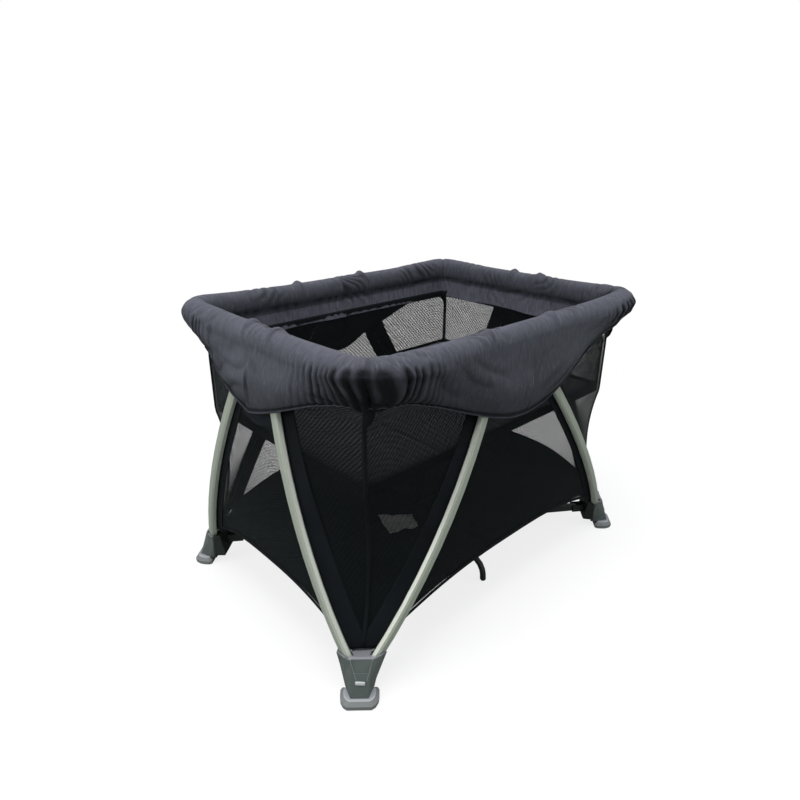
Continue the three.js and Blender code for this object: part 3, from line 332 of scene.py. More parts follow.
def toe_cap(quadrant):
    """The broad toe of the shell, which widens the socket down to its rubber pad."""
    bpy.ops.mesh.primitive_cylinder_add(vertices=6, radius=1, depth=1)
    piece = bpy.context.object
    piece.name = f"foot_toe_{quadrant}"
    for vertex in piece.data.vertices:
        at_top = vertex.co.z > 0
        corner = round(math.degrees(math.atan2(vertex.co.x, vertex.co.y)) / 60) % 6
        side, i = (1, 2 - corner) if corner < 3 else (-1, corner - 3)
        half, out = (TOE_TOP if at_top else TOE_LOW)[i]
        shift, z = (TOE_TOP_SHIFT, TOE_TOP_Z) if at_top else (TOE_LOW_SHIFT, TOE_LOW_Z)
        vertex.co = foot_point(quadrant, side * half + shift, out, z)
    bpy.ops.object.mode_set(mode="EDIT")
    bpy.ops.mesh.select_all(action="SELECT")
    bpy.ops.mesh.normals_make_consistent(inside=False)
    bpy.ops.object.mode_set(mode="OBJECT")
    bpy.ops.object.shade_flat()
    return piece


dress("foot_socket", foot_shell)
dress("foot_pad", foot_rubber)
for quadrant in QUADRANTS:
    for add, material in ((face_button, button_plastic), (toe_cap, foot_shell)):
        bpy.ops.object.select_all(action="DESELECT")
        piece = add(quadrant)
        piece.data.materials.append(material)
        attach(piece, f"foot_{quadrant}")


# ---------------------------------------------------------------- legs
# The eight bowed legs are rounded rectangular aluminium tube, anodised a pale champagne with the
# fine lengthwise lines that drawing and brushing leave.
def anodised(family):
    """Pale drawn aluminium, with painted shade on the faces that point out of the leg's own side."""
    material, shader = new_material(f"champagne_{family}_leg", Metallic=0.3, Roughness=0.4)
    tree = material.node_tree
    where = new_node(tree, "TexCoord").outputs
    drawn = new_node(tree, "Mapping", Vector=where["Object"], Scale=(1500, 1500, 14)).outputs[0]
    lines = new_node(tree, "TexNoise", Vector=drawn, Scale=1, Detail=3).outputs["Fac"]
    feed(shader, Base_Color=two_tones(tree, lines, (0.60, 0.62, 0.55), (0.72, 0.74, 0.66)))
    feed(shader, Roughness=between(tree, lines, 0.2, 0.8, 0.34, 0.5))
    # painted shade: the faces that point out of the leg's own side are darkened
    normal = new_node(tree, "SeparateXYZ", where["Normal"]).outputs
    out, along = ("Y", "X") if family == "long" else ("X", "Y")
    outward = calc(
        tree, "SUBTRACT", calc(tree, "ABSOLUTE", normal[out]), calc(tree, "ABSOLUTE", normal[along])
    )
    over_tone(material, between(tree, outward, -0.1, 0.1, 0, 1), (0.36, 0.39, 0.33))
    return material


for family in ("long", "short"):
    dress(f"{family}_leg", anodised(family))


# ---------------------------------------------------------------- base and rails
# The struts, the curved support legs, the rails and the hubs' plates are steel with black or dark
# satin paint, and the base hub and its lift handle are black moulded plastic.
PAINT_GRAIN = 0.00008
black_paint = grained("black_satin_paint", (0.012, 0.013, 0.014), (0.02, 0.021, 0.023), 0.36, PAINT_GRAIN)
rail_paint = grained("dark_rail_paint", (0.05, 0.052, 0.055), (0.07, 0.072, 0.075), 0.4, PAINT_GRAIN)
hub_plastic = grained("base_hub_plastic", (0.022, 0.023, 0.025), (0.032, 0.033, 0.036), 0.48)
handle_plastic = grained("lift_handle_plastic", (0.04, 0.042, 0.045), (0.055, 0.057, 0.06), 0.42)
dress(("base_strut", "support_leg"), black_paint)
dress(("long_rail", "short_rail", "long_hub", "short_hub"), rail_paint)
dress(("base_hub", "rail_elbow"), hub_plastic)
dress("lift_handle", handle_plastic)


# ---------------------------------------------------------------- top cover
# One cover of soft charcoal cloth runs all round the top: it wraps a foam roll round the rails, has
# a skirt outside that hides the legs' tops, gathered by elastic at the corners, and an inner flap.
# It is cut here where the rails end, so that each length folds with its own rail or hub.
low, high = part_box("long_rail_back_right")
RAIL_Y, RAIL_Z = (low.y + high.y) / 2, (low.z + high.z) / 2
low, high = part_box("short_rail_back_right")
RAIL_X = (low.x + high.x) / 2
RAIL_BEND = 0.055
ROLL = 0.030  # least reach of the padded roll from the rail
# outer and inner reach of the roll and its crown's height, over each side's rail and at a corner
LONG_ROLL, SHORT_ROLL, CORNER_ROLL = (ROLL, 0.0349, 0.037), (0.0352, ROLL, 0.041), (0.046, ROLL, 0.047)
SIDE_BROW, CORNER_BROW = math.radians(-10), math.radians(25)  # angle where the skirt leaves the roll
TUNNEL = 0.0128  # room in the foam for a rail and its elbow
CLOTH, PIPING = 0.0034, 0.0037
LONG_HUB, SHORT_HUB = 0.165, 0.072  # half lengths of the cover over each hub
FLAP_Z = 0.663
LONG_HEM_Z, SHORT_HEM_Z, CORNER_HEM_Z = 0.555, 0.590, 0.686
HEM_LEAD = 0.04  # a short side's hem would be lowest this far past its middle
CORNER_SEAM = Vector((0.460, 0.318))
BAND_END = math.radians(205)  # where the padding's inner face meets the flap
SKIRT, ARC, FLAP = 30, 28, 12  # rows of points over the skirt, the roll and the flap
STEP, BEND_STEPS = 0.0042, 36  # between stations along the cloth, and how many round a corner
HUB_CLEAR = 0.04  # past a hub's end the section starts to change
DRAWN = 0.8  # how far it has gone to the corner's form where the rail's bend starts
SKIRT_BOW = 0.004  # how far the skirt bows out between the roll and the hem
FLAP_SET, FLAP_FULL, FLAP_WAVE = 0.006, 0.0032, 0.004  # the flap's lean, fullness and wavy edge
GATHER_REACH, GATHER_PITCH, GATHER_DEPTH = 0.155, 0.021, 0.0070
PIT_WIDTH, PIT_DEPTH, STITCH_WIDTH, STITCH_DEPTH = 0.016, 0.005, 0.0045, 0.003  # at a corner's seam
SLACK_DEPTH, PLY_DEPTH, CHANNEL_DEPTH = 0.012, 0.0044, 0.0014
CREASE_DEPTH, PUCKER_DEPTH = 0.0046, 0.0026
LONG_BUMPS, SHORT_BUMPS = (-0.144, 0.095), (0.04, -0.06)  # where the hubs' plates end inside
BUMP_WIDTH, BUMP_RISE = 0.0095, 0.0085


def leg_middle(node, height):
    """The middle of a leg's level cut at a height, as (x, y)."""
    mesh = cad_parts[node].data
    cuts = []
    for edge in mesh.edges:
        a, b = (mesh.vertices[i].co for i in edge.vertices)
        if (a.z - height) * (b.z - height) < 0:
            cuts.append(a.lerp(b, (height - a.z) / (b.z - a.z)))
    xs, ys = [c.x for c in cuts], [c.y for c in cuts]
    return (min(xs) + max(xs)) / 2, (min(ys) + max(ys)) / 2


HEIGHTS = np.linspace(0.1, 0.69, 20)
LONG_LEG = np.array([leg_middle("long_leg_back_right", z) for z in HEIGHTS])
SHORT_LEG = np.array([leg_middle("short_leg_back_right", z)[::-1] for z in HEIGHTS])
LEG_BACK = 0.0085 + 0.0011  # from a leg's middle to the cloth behind it
LEG_FRONT = 0.0091  # from a leg's middle to the skirt before it


def leg_at(family, z):
    """A leg's (place along its side, distance out from the middle) at height z."""
    track = LONG_LEG if family == "long" else SHORT_LEG
    return np.interp(z, HEIGHTS, track[:, 0]), np.interp(z, HEIGHTS, track[:, 1])


bend_middle = Vector((RAIL_X - RAIL_BEND, RAIL_Y - RAIL_BEND))
corner_hem_out = (CORNER_SEAM - bend_middle).length - RAIL_BEND + CLOTH


def smooth(t):
    t = min(1, max(0, t))
    return t * t * (3 - 2 * t)


def corner_share(along, hub_end, bend_start):
    """How far a section has gone from a side's form to the corner's, at a place along the side."""
    start = hub_end + HUB_CLEAR
    return DRAWN * max(0, (along - start) / (bend_start - start)) ** 1.6


def hem_height(family, along):
    """The hem is lowest at a side's middle and rises to the corners."""
    if family == "long":
        return LONG_HEM_Z + (CORNER_HEM_Z - LONG_HEM_Z) * smooth(along / CORNER_SEAM.x)
    rise = smooth((along + HEM_LEAD) / (CORNER_SEAM.y + HEM_LEAD))
    return SHORT_HEM_Z + (CORNER_HEM_Z - SHORT_HEM_Z) * rise


def section_at(family, along, pull):
    """The roll's outer and inner reach from the rail, its crown's height and its brow's angle, where
    the skirt starts, then the hem's place outside the rail and its height. pull goes from 0 beside
    a hub to 1 at a corner, where the padding juts out and elastic draws the hem in."""
    axis, roll = (RAIL_Y, LONG_ROLL) if family == "long" else (RAIL_X, SHORT_ROLL)
    height = hem_height(family, along)
    hem_out = leg_at(family, height)[1] + LEG_FRONT + CLOTH - axis
    plain = np.array([*roll, SIDE_BROW, hem_out, height])
    drawn = np.array([*CORNER_ROLL, CORNER_BROW, corner_hem_out, height])
    return plain * (1 - pull) + drawn * pull


def cover_quarter():
    """Stations from the middle of the back side round one corner to the middle of the right side:
    place, way out, section and whether it is on a rail."""
    quarter = []
    for x in np.arange(0, bend_middle.x, STEP):
        pull = corner_share(x, LONG_HUB, bend_middle.x)
        quarter.append([(x, RAIL_Y), (0, 1), section_at("long", x, pull), x > LONG_HUB])
    for i in range(BEND_STEPS + 1):
        turn = math.pi / 2 * i / BEND_STEPS
        out = Vector((math.sin(turn), math.cos(turn)))
        place = bend_middle + RAIL_BEND * out
        family, along = ("long", place.x) if i < BEND_STEPS / 2 else ("short", place.y)
        pull = DRAWN + (1 - DRAWN) * math.sin(2 * turn)
        quarter.append([tuple(place), tuple(out), section_at(family, along, pull), True])
    for y in np.arange(bend_middle.y, 0, -STEP)[1:]:
        pull = corner_share(y, SHORT_HUB, bend_middle.y)
        quarter.append([(RAIL_X, y), (1, 0), section_at("short", y, pull), y > SHORT_HUB])
    return quarter


def seam_distance(x, y):
    """How far along the cloth a place on the rail is from the seam at its corner, before it if < 0."""
    arc = RAIL_BEND * math.pi / 4
    if x < bend_middle.x:
        return x - bend_middle.x - arc
    if y < bend_middle.y:
        return bend_middle.y - y + arc
    return RAIL_BEND * (math.atan2(x - bend_middle.x, y - bend_middle.y)) - arc


def cover_ring():
    """The stations all round, each with the piece that it belongs to and its run along the cloth."""
    ring, run = [], 0.0
    quarter = cover_quarter()
    for quadrant, backwards in (
        ("back_right", False), ("front_right", True), ("front_left", False), ("back_left", True),
    ):
        depth, side = quadrant.split("_")
        sx, sy = QUADRANTS[quadrant]
        for (x, y), (out_x, out_y), section, on_rail in quarter[::-1] if backwards else quarter:
            long_side = y > bend_middle.y + 0.001 or x < bend_middle.x
            owner = f"long_cover_{quadrant}" if long_side else f"short_cover_{quadrant}"
            if not on_rail:
                owner = f"side_panel_{depth}" if long_side else f"side_panel_{side}"
            place = Vector((sx * x, sy * y))
            if ring:
                run += (place - ring[-1]["place"]).length
            ring.append({
                "place": place, "out": Vector((sx * out_x, sy * out_y)), "section": section,
                "owner": owner, "run": run, "quadrant": quadrant, "corner": seam_distance(x, y),
            })
    return ring


def section_points(section, wave):
    """The cover's outer face in (out, height), from the hem up over the roll to the inner flap's
    edge, with the share of padding under each point. wave lifts and moves the flap's edge."""
    outer, inner, crown, brow, hem_out, hem_z = section
    start = Vector((outer * math.cos(brow), RAIL_Z + (crown if brow > 0 else outer) * math.sin(brow)))
    hem = Vector((hem_out, hem_z))
    points = []
    for i in range(SKIRT):
        k = (i / SKIRT) ** 1.25
        at = hem.lerp(start, k)
        points.append((at.x + SKIRT_BOW * math.sin(math.pi * k), at.y, 0.0))
    for i in range(ARC + 1):
        angle = brow + (BAND_END - brow) * i / ARC
        out = (outer if math.cos(angle) > 0 else inner) * math.cos(angle)
        rise = (crown if 0 < angle < math.pi else inner) * math.sin(angle)
        points.append((out, RAIL_Z + rise, 1.0))
    rounded = [points[0]]
    for (x0, z0, _), (x1, z1, pad), (x2, z2, _) in zip(points, points[1:], points[2:]):
        rounded.append(((x0 + 2 * x1 + x2) / 4, (z0 + 2 * z1 + z2) / 4, pad))
    points = rounded + [points[-1]]
    seam = Vector(points[-1][:2])
    edge = Vector((FLAP_WAVE * wave - inner - FLAP_SET, FLAP_Z + FLAP_WAVE * wave))
    for i in range(1, FLAP + 1):
        k = i / FLAP
        at = seam.lerp(edge, k)
        points.append((at.x + (FLAP_FULL * (1 - k) if i > 1 else -0.001), at.y, 0.0))
    return points


def folded(value):
    """A round fold between two sharp valleys, as 0..1, once for each whole step of value."""
    return abs(math.sin(math.pi * value)) ** 0.65


def rough(x, y, seed):
    return noise.noise(Vector((x, y, seed)))


def bell(distance, width):
    """One at nothing, dying away over a width to either side."""
    return math.exp(-((distance / width) ** 2))


def gathers(run, seam, skirt, band):
    """Long folds down the skirt, close and deep by a corner's seam, that die out below the crest."""
    reach = math.exp(-((abs(seam) / GATHER_REACH) ** 3))
    fade = 1 - smooth((band - 0.02) / (0.14 + 0.12 * rough(run * 40, 0.0, 6.0)))
    fold = folded(
        run / GATHER_PITCH + 1.5 * rough(run * 17, skirt * 0.25, 2.0) + 0.4 * rough(run * 5, skirt, 8.0)
    )
    depth = max(0, 0.85 + 1.3 * rough(run * 24, skirt * 0.5, 9.0)) * (0.8 + 0.2 * bell(seam, 0.08))
    pit = bell(seam, PIT_WIDTH) * fade
    stitches = bell(seam, STITCH_WIDTH) * (band < 1)
    lift = GATHER_DEPTH * reach * fade * depth * (fold - 0.6 * smooth(skirt / 0.5))
    lift -= PIT_DEPTH * pit * smooth(skirt / 0.4) + STITCH_DEPTH * stitches * (1 - 0.5 * band)
    # painted shade: dark valleys between the gathers, over the corner round its seam, in the pit and along
    # the stitches
    shade = 1.7 * reach * fade * min(1, depth) * (1 - fold**1.54) ** 0.9
    shade += 0.42 * bell(seam, 0.09) * (1 - smooth((band - 0.06) / 0.16))
    shade += 0.75 * pit * smooth(1.3 - fold) + 0.5 * stitches * (1 - 0.6 * band)
    return lift, shade


def slack(run, lean, skirt):
    """Broad soft folds from the crest by one corner down to the hem, with its stitched channel."""
    belly = math.sin(math.pi * min(1, skirt * 0.9 + 0.08)) ** 0.8
    drape = rough(run * 6.5 + lean * skirt * 1.3, skirt * 1.5, 5.0)
    ply = folded(run * 9 + lean * skirt * 2.2 + 0.7 * rough(run * 7, skirt * 2, 1.0))
    mask = smooth(0.25 + 2.2 * rough(run * 4.6, skirt * 1.6, 12.0)) * (0.25 + 0.75 * belly)
    channel = bell(skirt - 0.07, 0.04)
    lift = SLACK_DEPTH * belly * (0.3 + drape) + PLY_DEPTH * mask * (ply - 0.6) - CHANNEL_DEPTH * channel
    # painted shade in the folds' valleys and low on the skirt, and a painted shadow along the stitched
    # channel
    shade = 0.45 * mask * (1 - ply) + 0.42 * (1 - smooth(skirt / 0.8))
    return lift, shade + 0.9 * channel * (0.8 + 0.5 * rough(run * 60, 1.0, 21.0))


def creases(run, lean, band, along, bumps):
    """Slanting creases over the roll, and the bumps where the hub's plates end inside."""
    crease = folded(run * 26 + lean * band * 2.2 + 1.8 * rough(run * 11, band * 2.2, 4.0))
    where = smooth(0.1 + 2.3 * rough(run * 6.2, band * 0.8, 3.0)) * math.sin(math.pi * band) ** 0.6
    lift = CREASE_DEPTH * where * (crease - 0.5)
    for bump in bumps:
        off_bump = along - bump - lean * 0.006 * (band - 0.4)
        lift += BUMP_RISE * bell(band - 0.42, 0.2) * bell(off_bump, BUMP_WIDTH)
    # painted shade in the creases' valleys, over the roll's inner side and along the flap's seam
    shade = 0.8 * where * (1 - crease**1.54) * smooth((band - 0.38) / 0.2)
    return lift, shade + 0.42 * smooth((band - 0.5) / 0.25) + 0.5 * bell(1 - band, 0.035)


def puckers(run, flap):
    """Small folds down the inner flap, deepest at its seam."""
    pucker = folded(run * 24 + 1.5 * rough(run * 9, flap, 6.0))
    lift = PUCKER_DEPTH * (pucker - 0.5) * (1 - 0.5 * flap)
    # painted shade between the puckers and along the flap's seam
    return lift, 0.3 * (1 - pucker) * (1 - flap) + 0.85 * bell(flap, 0.14)


def cover_swell(station, j):
    """How far the cloth stands off its plain form at row j, and how open to light it lies there, which sets
    its painted shade.
    """
    run, place = station["run"], station["place"]
    lean = 1 if station["quadrant"] in ("front_right", "back_left") else -1
    skirt, band = min(1, j / SKIRT), min(1, max(0, (j - SKIRT) / ARC))
    lift, shade = gathers(run, station["corner"], skirt, band)
    if not band:
        more_lift, more_shade = slack(run, lean, skirt)
    elif band < 1:
        on_long = abs(station["out"].y) > 0.9
        along, bumps = (place.x, LONG_BUMPS) if on_long else (place.y, SHORT_BUMPS)
        more_lift, more_shade = creases(run, lean, band, along, bumps)
    else:
        more_lift, more_shade = puckers(run, (j - SKIRT - ARC) / FLAP)
    return lift + more_lift, max(0.0, 1 - shade - more_shade)


def cover_mesh(name, stations):
    """A length of cover as a closed skin: its outer face, the face inside and its piped hem."""
    rows, runs, light = [], [], []
    for station in stations:
        run = station["run"]
        flat = np.array(section_points(station["section"], 1.6 * rough(run * 9, 0.5, 14.0)))
        count = len(flat)
        ahead_of = np.roll(flat, -1, 0)[:, :2] - np.roll(flat, 1, 0)[:, :2]
        ahead_of[0], ahead_of[-1] = flat[1, :2] - flat[0, :2], flat[-1, :2] - flat[-2, :2]
        normal = np.stack([ahead_of[:, 1], -ahead_of[:, 0]], 1)
        normal /= np.linalg.norm(normal, axis=1)[:, None]
        hub = station["owner"].startswith("side_panel")
        outer_face, inner_face, open_sky = [], [], []
        for j in range(count):
            swell, sky = cover_swell(station, j)
            outer_face.append(flat[j, :2] + normal[j] * swell)
            radius = math.hypot(flat[j, 0], flat[j, 1] - RAIL_Z)
            depth = CLOTH if hub or flat[j, 2] == 0 else radius - TUNNEL
            follow = min(swell, 0.004) * (flat[j, 2] == 0)
            inner_face.append(flat[j, :2] + normal[j] * (follow - depth))
            open_sky.append(sky)
        low_edge = (outer_face[0] + inner_face[0]) / 2
        piping = [
            low_edge + PIPING * np.array([math.cos(a), math.sin(a)])
            for a in np.linspace(math.pi, 2 * math.pi, 7)
        ]
        loop = outer_face + inner_face[::-1] + piping
        place, out = station["place"], station["out"]
        rows.append([(place.x + out.x * q[0], place.y + out.y * q[0], q[1]) for q in loop])
        # painted shade for the material: the outer face's own, a flat 0.4 inside and none on the piping
        light.append(open_sky + [0.4] * count + [1.0] * len(piping))
        steps = np.linalg.norm(np.diff(np.array(loop), axis=0, prepend=[loop[0]]), axis=1)
        runs.append((run, np.cumsum(steps)))
    piece = woven_skin(name, rows, runs, looped=True, capped=True)
    shade = piece.data.attributes.new("open_sky", "FLOAT", "POINT")
    shade.data.foreach_set("value", np.array(light, np.float32).ravel())
    return piece


def woven_skin(name, rows, runs=None, looped=False, capped=False):
    """A mesh through rows of points, with a cloth map in metres: along the rows, then across."""
    n, m = len(rows), len(rows[0])
    points = np.array(rows, float).reshape(-1, 3)
    if runs is None:
        grid = points.reshape(n, m, 3)
        along = np.linalg.norm(np.diff(grid, axis=0, prepend=grid[:1]), axis=2).cumsum(0)
        across = np.linalg.norm(np.diff(grid, axis=1, prepend=grid[:, :1]), axis=2).cumsum(1)
        cloth_map = np.stack([along, across], 2).reshape(-1, 2)
    else:
        cloth_map = np.array([(run, step) for run, steps in runs for step in steps])
    faces = []
    for i in range(n - 1):
        for j in range(m if looped else m - 1):
            k = (j + 1) % m
            faces.append((i * m + j, i * m + k, (i + 1) * m + k, (i + 1) * m + j))
    if capped:
        faces += [tuple(range(m))[::-1], tuple(range((n - 1) * m, n * m))]
    mesh = bpy.data.meshes.new(name)
    mesh.from_pydata([tuple(p) for p in points], [], faces)
    loops = np.empty(len(mesh.loops), int)
    mesh.loops.foreach_get("vertex_index", loops)
    layer = mesh.uv_layers.new(name="cloth")
    layer.data.foreach_set("uv", cloth_map[loops].ravel().astype(np.float32))
    piece = bpy.data.objects.new(name, mesh)
    bpy.context.scene.collection.objects.link(piece)
    if capped:
        edit = bmesh.new()
        edit.from_mesh(mesh)
        bmesh.ops.recalc_face_normals(edit, faces=edit.faces)
        edit.to_mesh(mesh)
        edit.free()
    bpy.ops.object.select_all(action="DESELECT")
    piece.select_set(True)
    bpy.context.view_layer.objects.active = piece
    bpy.ops.object.shade_smooth_by_angle(angle=math.radians(60))
    return piece


# weave: fine over-and-under threads as a height, with slow unevenness in the dye
weave, given, made = effect_group("woven_threads", {"Thread": 0.0011}, ("Height", "Uneven"))
where = new_node(weave, "TexCoord").outputs
across = new_node(weave, "SeparateXYZ", where["UV"]).outputs
turns = [calc(weave, "DIVIDE", across[axis], given["Thread"]) for axis in ("X", "Y")]
warp, weft = (calc(weave, "SINE", calc(weave, "MULTIPLY", turn, 2 * math.pi)) for turn in turns)
uneven = new_node(weave, "TexNoise", Vector=where["Object"], Scale=9, Detail=6).outputs["Fac"]
feed(made, calc(weave, "MULTIPLY", warp, weft), between(weave, uneven, 0.3, 0.7, 0, 1))


def woven(name, one, other, roughness, thread=0.0011, sheen=0.3, shine=0.2):
    """Woven cloth: two close tones, crossing threads and a soft sheen."""
    material, shader = new_material(
        name, Sheen_Weight=sheen, Sheen_Roughness=0.45, Sheen_Tint=(0.8, 0.85, 1, 1), Specular_IOR_Level=shine
    )
    effect = new_node(material.node_tree, "Group", node_tree=weave, Thread=thread).outputs
    finish(shader, effect["Uneven"], (one, other), roughness, 0.1,
           Height=effect["Height"], Distance=0.0003, Strength=0.5)
    return material


COVER_SHEEN = 0.14
cover_cloth = woven(
    "charcoal_cover_cloth", (0.034, 0.035, 0.046), (0.047, 0.048, 0.063), 0.72, sheen=COVER_SHEEN
)
tree = cover_cloth.node_tree
# the brushed nap lies in slanting streaks, paler and darker
cloth_map = new_node(tree, "TexCoord").outputs["UV"]
for turn, scale, low, high, tone in (
    (35, (210, 38, 1), 0.46, 0.74, (0.098, 0.101, 0.122)),
    (-50, (90, 26, 1), 0.48, 0.72, (0.014, 0.015, 0.021)),
):
    slant = new_node(tree, "Mapping", Vector=cloth_map, Rotation=(0, 0, math.radians(turn)), Scale=scale)
    streaks = new_node(tree, "TexNoise", Vector=slant.outputs[0], Scale=1, Detail=7, Roughness=0.68)
    over_tone(cover_cloth, between(tree, streaks.outputs["Fac"], low, high, 0, 0.7), tone)
# painted shade: the cloth is darkened, and its sheen dimmed, where open_sky is low, as in fold valleys
sky = new_node(tree, "Attribute", attribute_name="open_sky").outputs["Fac"]
over_tone(cover_cloth, calc(tree, "SUBTRACT", 1, sky), (0.0010, 0.0028, 0.0045))
feed(tree.nodes["Principled BSDF"], Sheen_Weight=calc(tree, "MULTIPLY", sky, COVER_SHEEN))

ring = cover_ring()
starts = [i for i in range(len(ring)) if ring[i]["owner"] != ring[i - 1]["owner"]]
for start, following in zip(starts, starts[1:] + [starts[0] + len(ring)]):
    owner = ring[start]["owner"]
    stations = [{**ring[i % len(ring)], "owner": owner} for i in range(start, following + 1)]
    kind, which = owner.split("_cover_") if "_cover_" in owner else ("hub", owner.split("_")[-1])
    piece = cover_mesh(f"{kind}_roll_{which}", stations)
    piece.data.materials.append(cover_cloth)
    if kind == "hub":
        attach(piece, f"long_hub_{which}" if which in ("front", "back") else f"short_hub_{which}")
    else:
        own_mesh(piece)
        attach(piece, f"{kind}_rail_{which}")
        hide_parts(owner)


# ---------------------------------------------------------------- side walls
# Between the two legs of a side the wall is fine black net. A dark cloth yoke hangs from the cover
# down to a curved seam, each leg has a black cloth band beside it, and the arch below is bound.
SIDES = {
    "front": ("long", Vector((1, 0, 0)), Vector((0, -1, 0))),
    "back": ("long", Vector((1, 0, 0)), Vector((0, 1, 0))),
    "left": ("short", Vector((0, 1, 0)), Vector((-1, 0, 0))),
    "right": ("short", Vector((0, 1, 0)), Vector((1, 0, 0))),
}
WALL_TOP_Z = 0.669
YOKE_Z = {"long": 0.545, "short": 0.560}
ARCH_Z = {"long": 0.198, "short": 0.190}
WALL_FOOT_Z, BAND_TOP_Z = 0.127, 0.66
BAND = 0.038
LEG_TOP_Z = 0.68  # the legs' tracks are used up to here
LEG_TO_WALL = LEG_BACK + 0.0015  # from a leg's middle to the middle of the net behind it
LEG_LAP = 0.001  # how far the nets end from a leg's middle
FLAP_OUT = {"long": RAIL_Y - 0.0331, "short": RAIL_X - 0.0283}  # where the wall's top is behind the flap
COURSE = 0.0085  # width of a pair of slanting courses in the net
CLOTH_THICK, BOUND_THICK, SEAM_THICK = 0.0012, 0.0014, 0.0016
YOKE_OFF, BINDING_OFF, BAND_OFF = 0.0012, 0.0013, 0.0014  # how far each layer stands off the net
BAND_ROUGH = 0.0006  # how unevenly a leg's band lies
TAB_ENDS, TAB_HEIGHTS, TAB_IN = (-0.005, 0.017), (0.597, 0.662), 0.003

# net: knitted mesh, as threads that cross at a slant with open holes between them
net, given, made = effect_group(
    "knitted_net", {"Pitch": 0.0024, "Closed": 0.5, "Ribs": 0.5}, ("Thread", "Height")
)
cloth_map = new_node(net, "TexCoord").outputs["UV"]
slant = new_node(net, "Mapping", Vector=cloth_map, Rotation=(0, 0, math.radians(45)))
across = new_node(net, "SeparateXYZ", slant.outputs[0]).outputs
one_way, other_way = (
    calc(net, "PINGPONG", calc(net, "DIVIDE", across[axis], given["Pitch"]), 0.5) for axis in ("X", "Y")
)
nearest = calc(net, "MINIMUM", one_way, other_way)
# half a thread's width in pitches, so that crossing threads close about the share asked for
half = calc(net, "MULTIPLY", given["Closed"], 0.29)
# ribs: every second slanting course is knitted closer
rib = calc(net, "PINGPONG", calc(net, "DIVIDE", across["X"], COURSE), 0.5)
ribbed = calc(net, "MULTIPLY_ADD", between(net, rib, 0.1, 0.4, -0.5, 0.5), given["Ribs"], 1)
feed(made, calc(net, "LESS_THAN", nearest, calc(net, "MULTIPLY", half, ribbed)), nearest)


def netting(name, colour, pitch, closed, ribs):
    """Black net: its holes are clear, and close up where it is seen at a slant."""
    material, shader = new_material(name, Roughness=0.7, Specular_IOR_Level=0.12, Base_Color=(*colour, 1))
    tree = material.node_tree
    effect = new_node(tree, "Group", node_tree=net, Pitch=pitch, Closed=closed, Ribs=ribs).outputs
    hidden = between(tree, new_node(tree, "LayerWeight").outputs["Facing"], 0.5, 0.72, 0, 0.75)
    bump = new_node(tree, "Bump", invert=True, Height=effect["Height"], Distance=0.0004)
    feed(shader, Alpha=calc(tree, "MAXIMUM", effect["Thread"], hidden), Normal=bump.outputs["Normal"])
    return material


wall_net = netting("black_wall_net", (0.0045, 0.0065, 0.0075), 0.0024, 0.56, 0.35)
wall_cloth = woven(
    "black_wall_cloth", (0.008, 0.010, 0.014), (0.012, 0.0145, 0.019), 0.75, sheen=0.03, shine=0.1
)
band_cloth = woven(
    "black_band_cloth", (0.004, 0.0055, 0.007), (0.0075, 0.0095, 0.012), 0.7, sheen=0, shine=0.1
)


def wall_point(side, across, z, stand_off=0.0):
    """A point of a side's wall: across is -1 and 1 at the legs."""
    family, along_way, out_way = SIDES[side]
    along, leg_out = leg_at(family, min(z, LEG_TOP_Z))
    hem = LONG_HEM_Z if family == "long" else SHORT_HEM_Z
    t = smooth((z - hem) / (WALL_TOP_Z - hem))
    out = (leg_out - LEG_TO_WALL) * (1 - t) + FLAP_OUT[family] * t + stand_off
    return along_way * (across * (along - LEG_LAP)) + out_way * out + Vector((0, 0, z))


def yoke_z(family, across):
    """Height of the yoke's seam, a parabola. The legs lean, so the wall's width is found by repeating."""
    z = YOKE_Z[family]
    for _ in range(12):
        z = YOKE_Z[family] + 5 * (across * leg_at(family, min(z, LEG_TOP_Z))[0]) ** 2
    return min(z, BAND_TOP_Z)


def arch_z(family, across):
    return ARCH_Z[family] + (WALL_FOOT_Z - ARCH_Z[family]) * abs(across) ** 3


def wall_top(family, across):
    return WALL_TOP_Z


def wall_strip(side, low, high, count, stand_off=0.0, dip=0.0, rise=0.0):
    """Rows of points over a side's wall, from dip below one line of it to rise above another."""
    family = SIDES[side][0]
    return [[
        wall_point(side, a, (low(family, a) - dip) * (1 - v) + (high(family, a) + rise) * v, stand_off)
        for v in np.linspace(0, 1, count)
    ] for a in np.linspace(-1, 1, 49)]


def cloth_sheet(name, rows, material, body, thick=0.0, squash=None, replaces=None):
    """A sheet of cloth through rows of points, given thickness if it is one, and fixed to its body."""
    piece = woven_skin(name, rows)
    if thick:
        wall = piece.modifiers.new("cloth_thickness", "SOLIDIFY")
        wall.thickness, wall.offset = thick, 0
        bpy.ops.object.modifier_apply(modifier=wall.name)
    piece.data.materials.append(material)
    if squash:
        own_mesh(piece)
    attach(piece, body)
    if replaces:
        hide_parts(replaces)


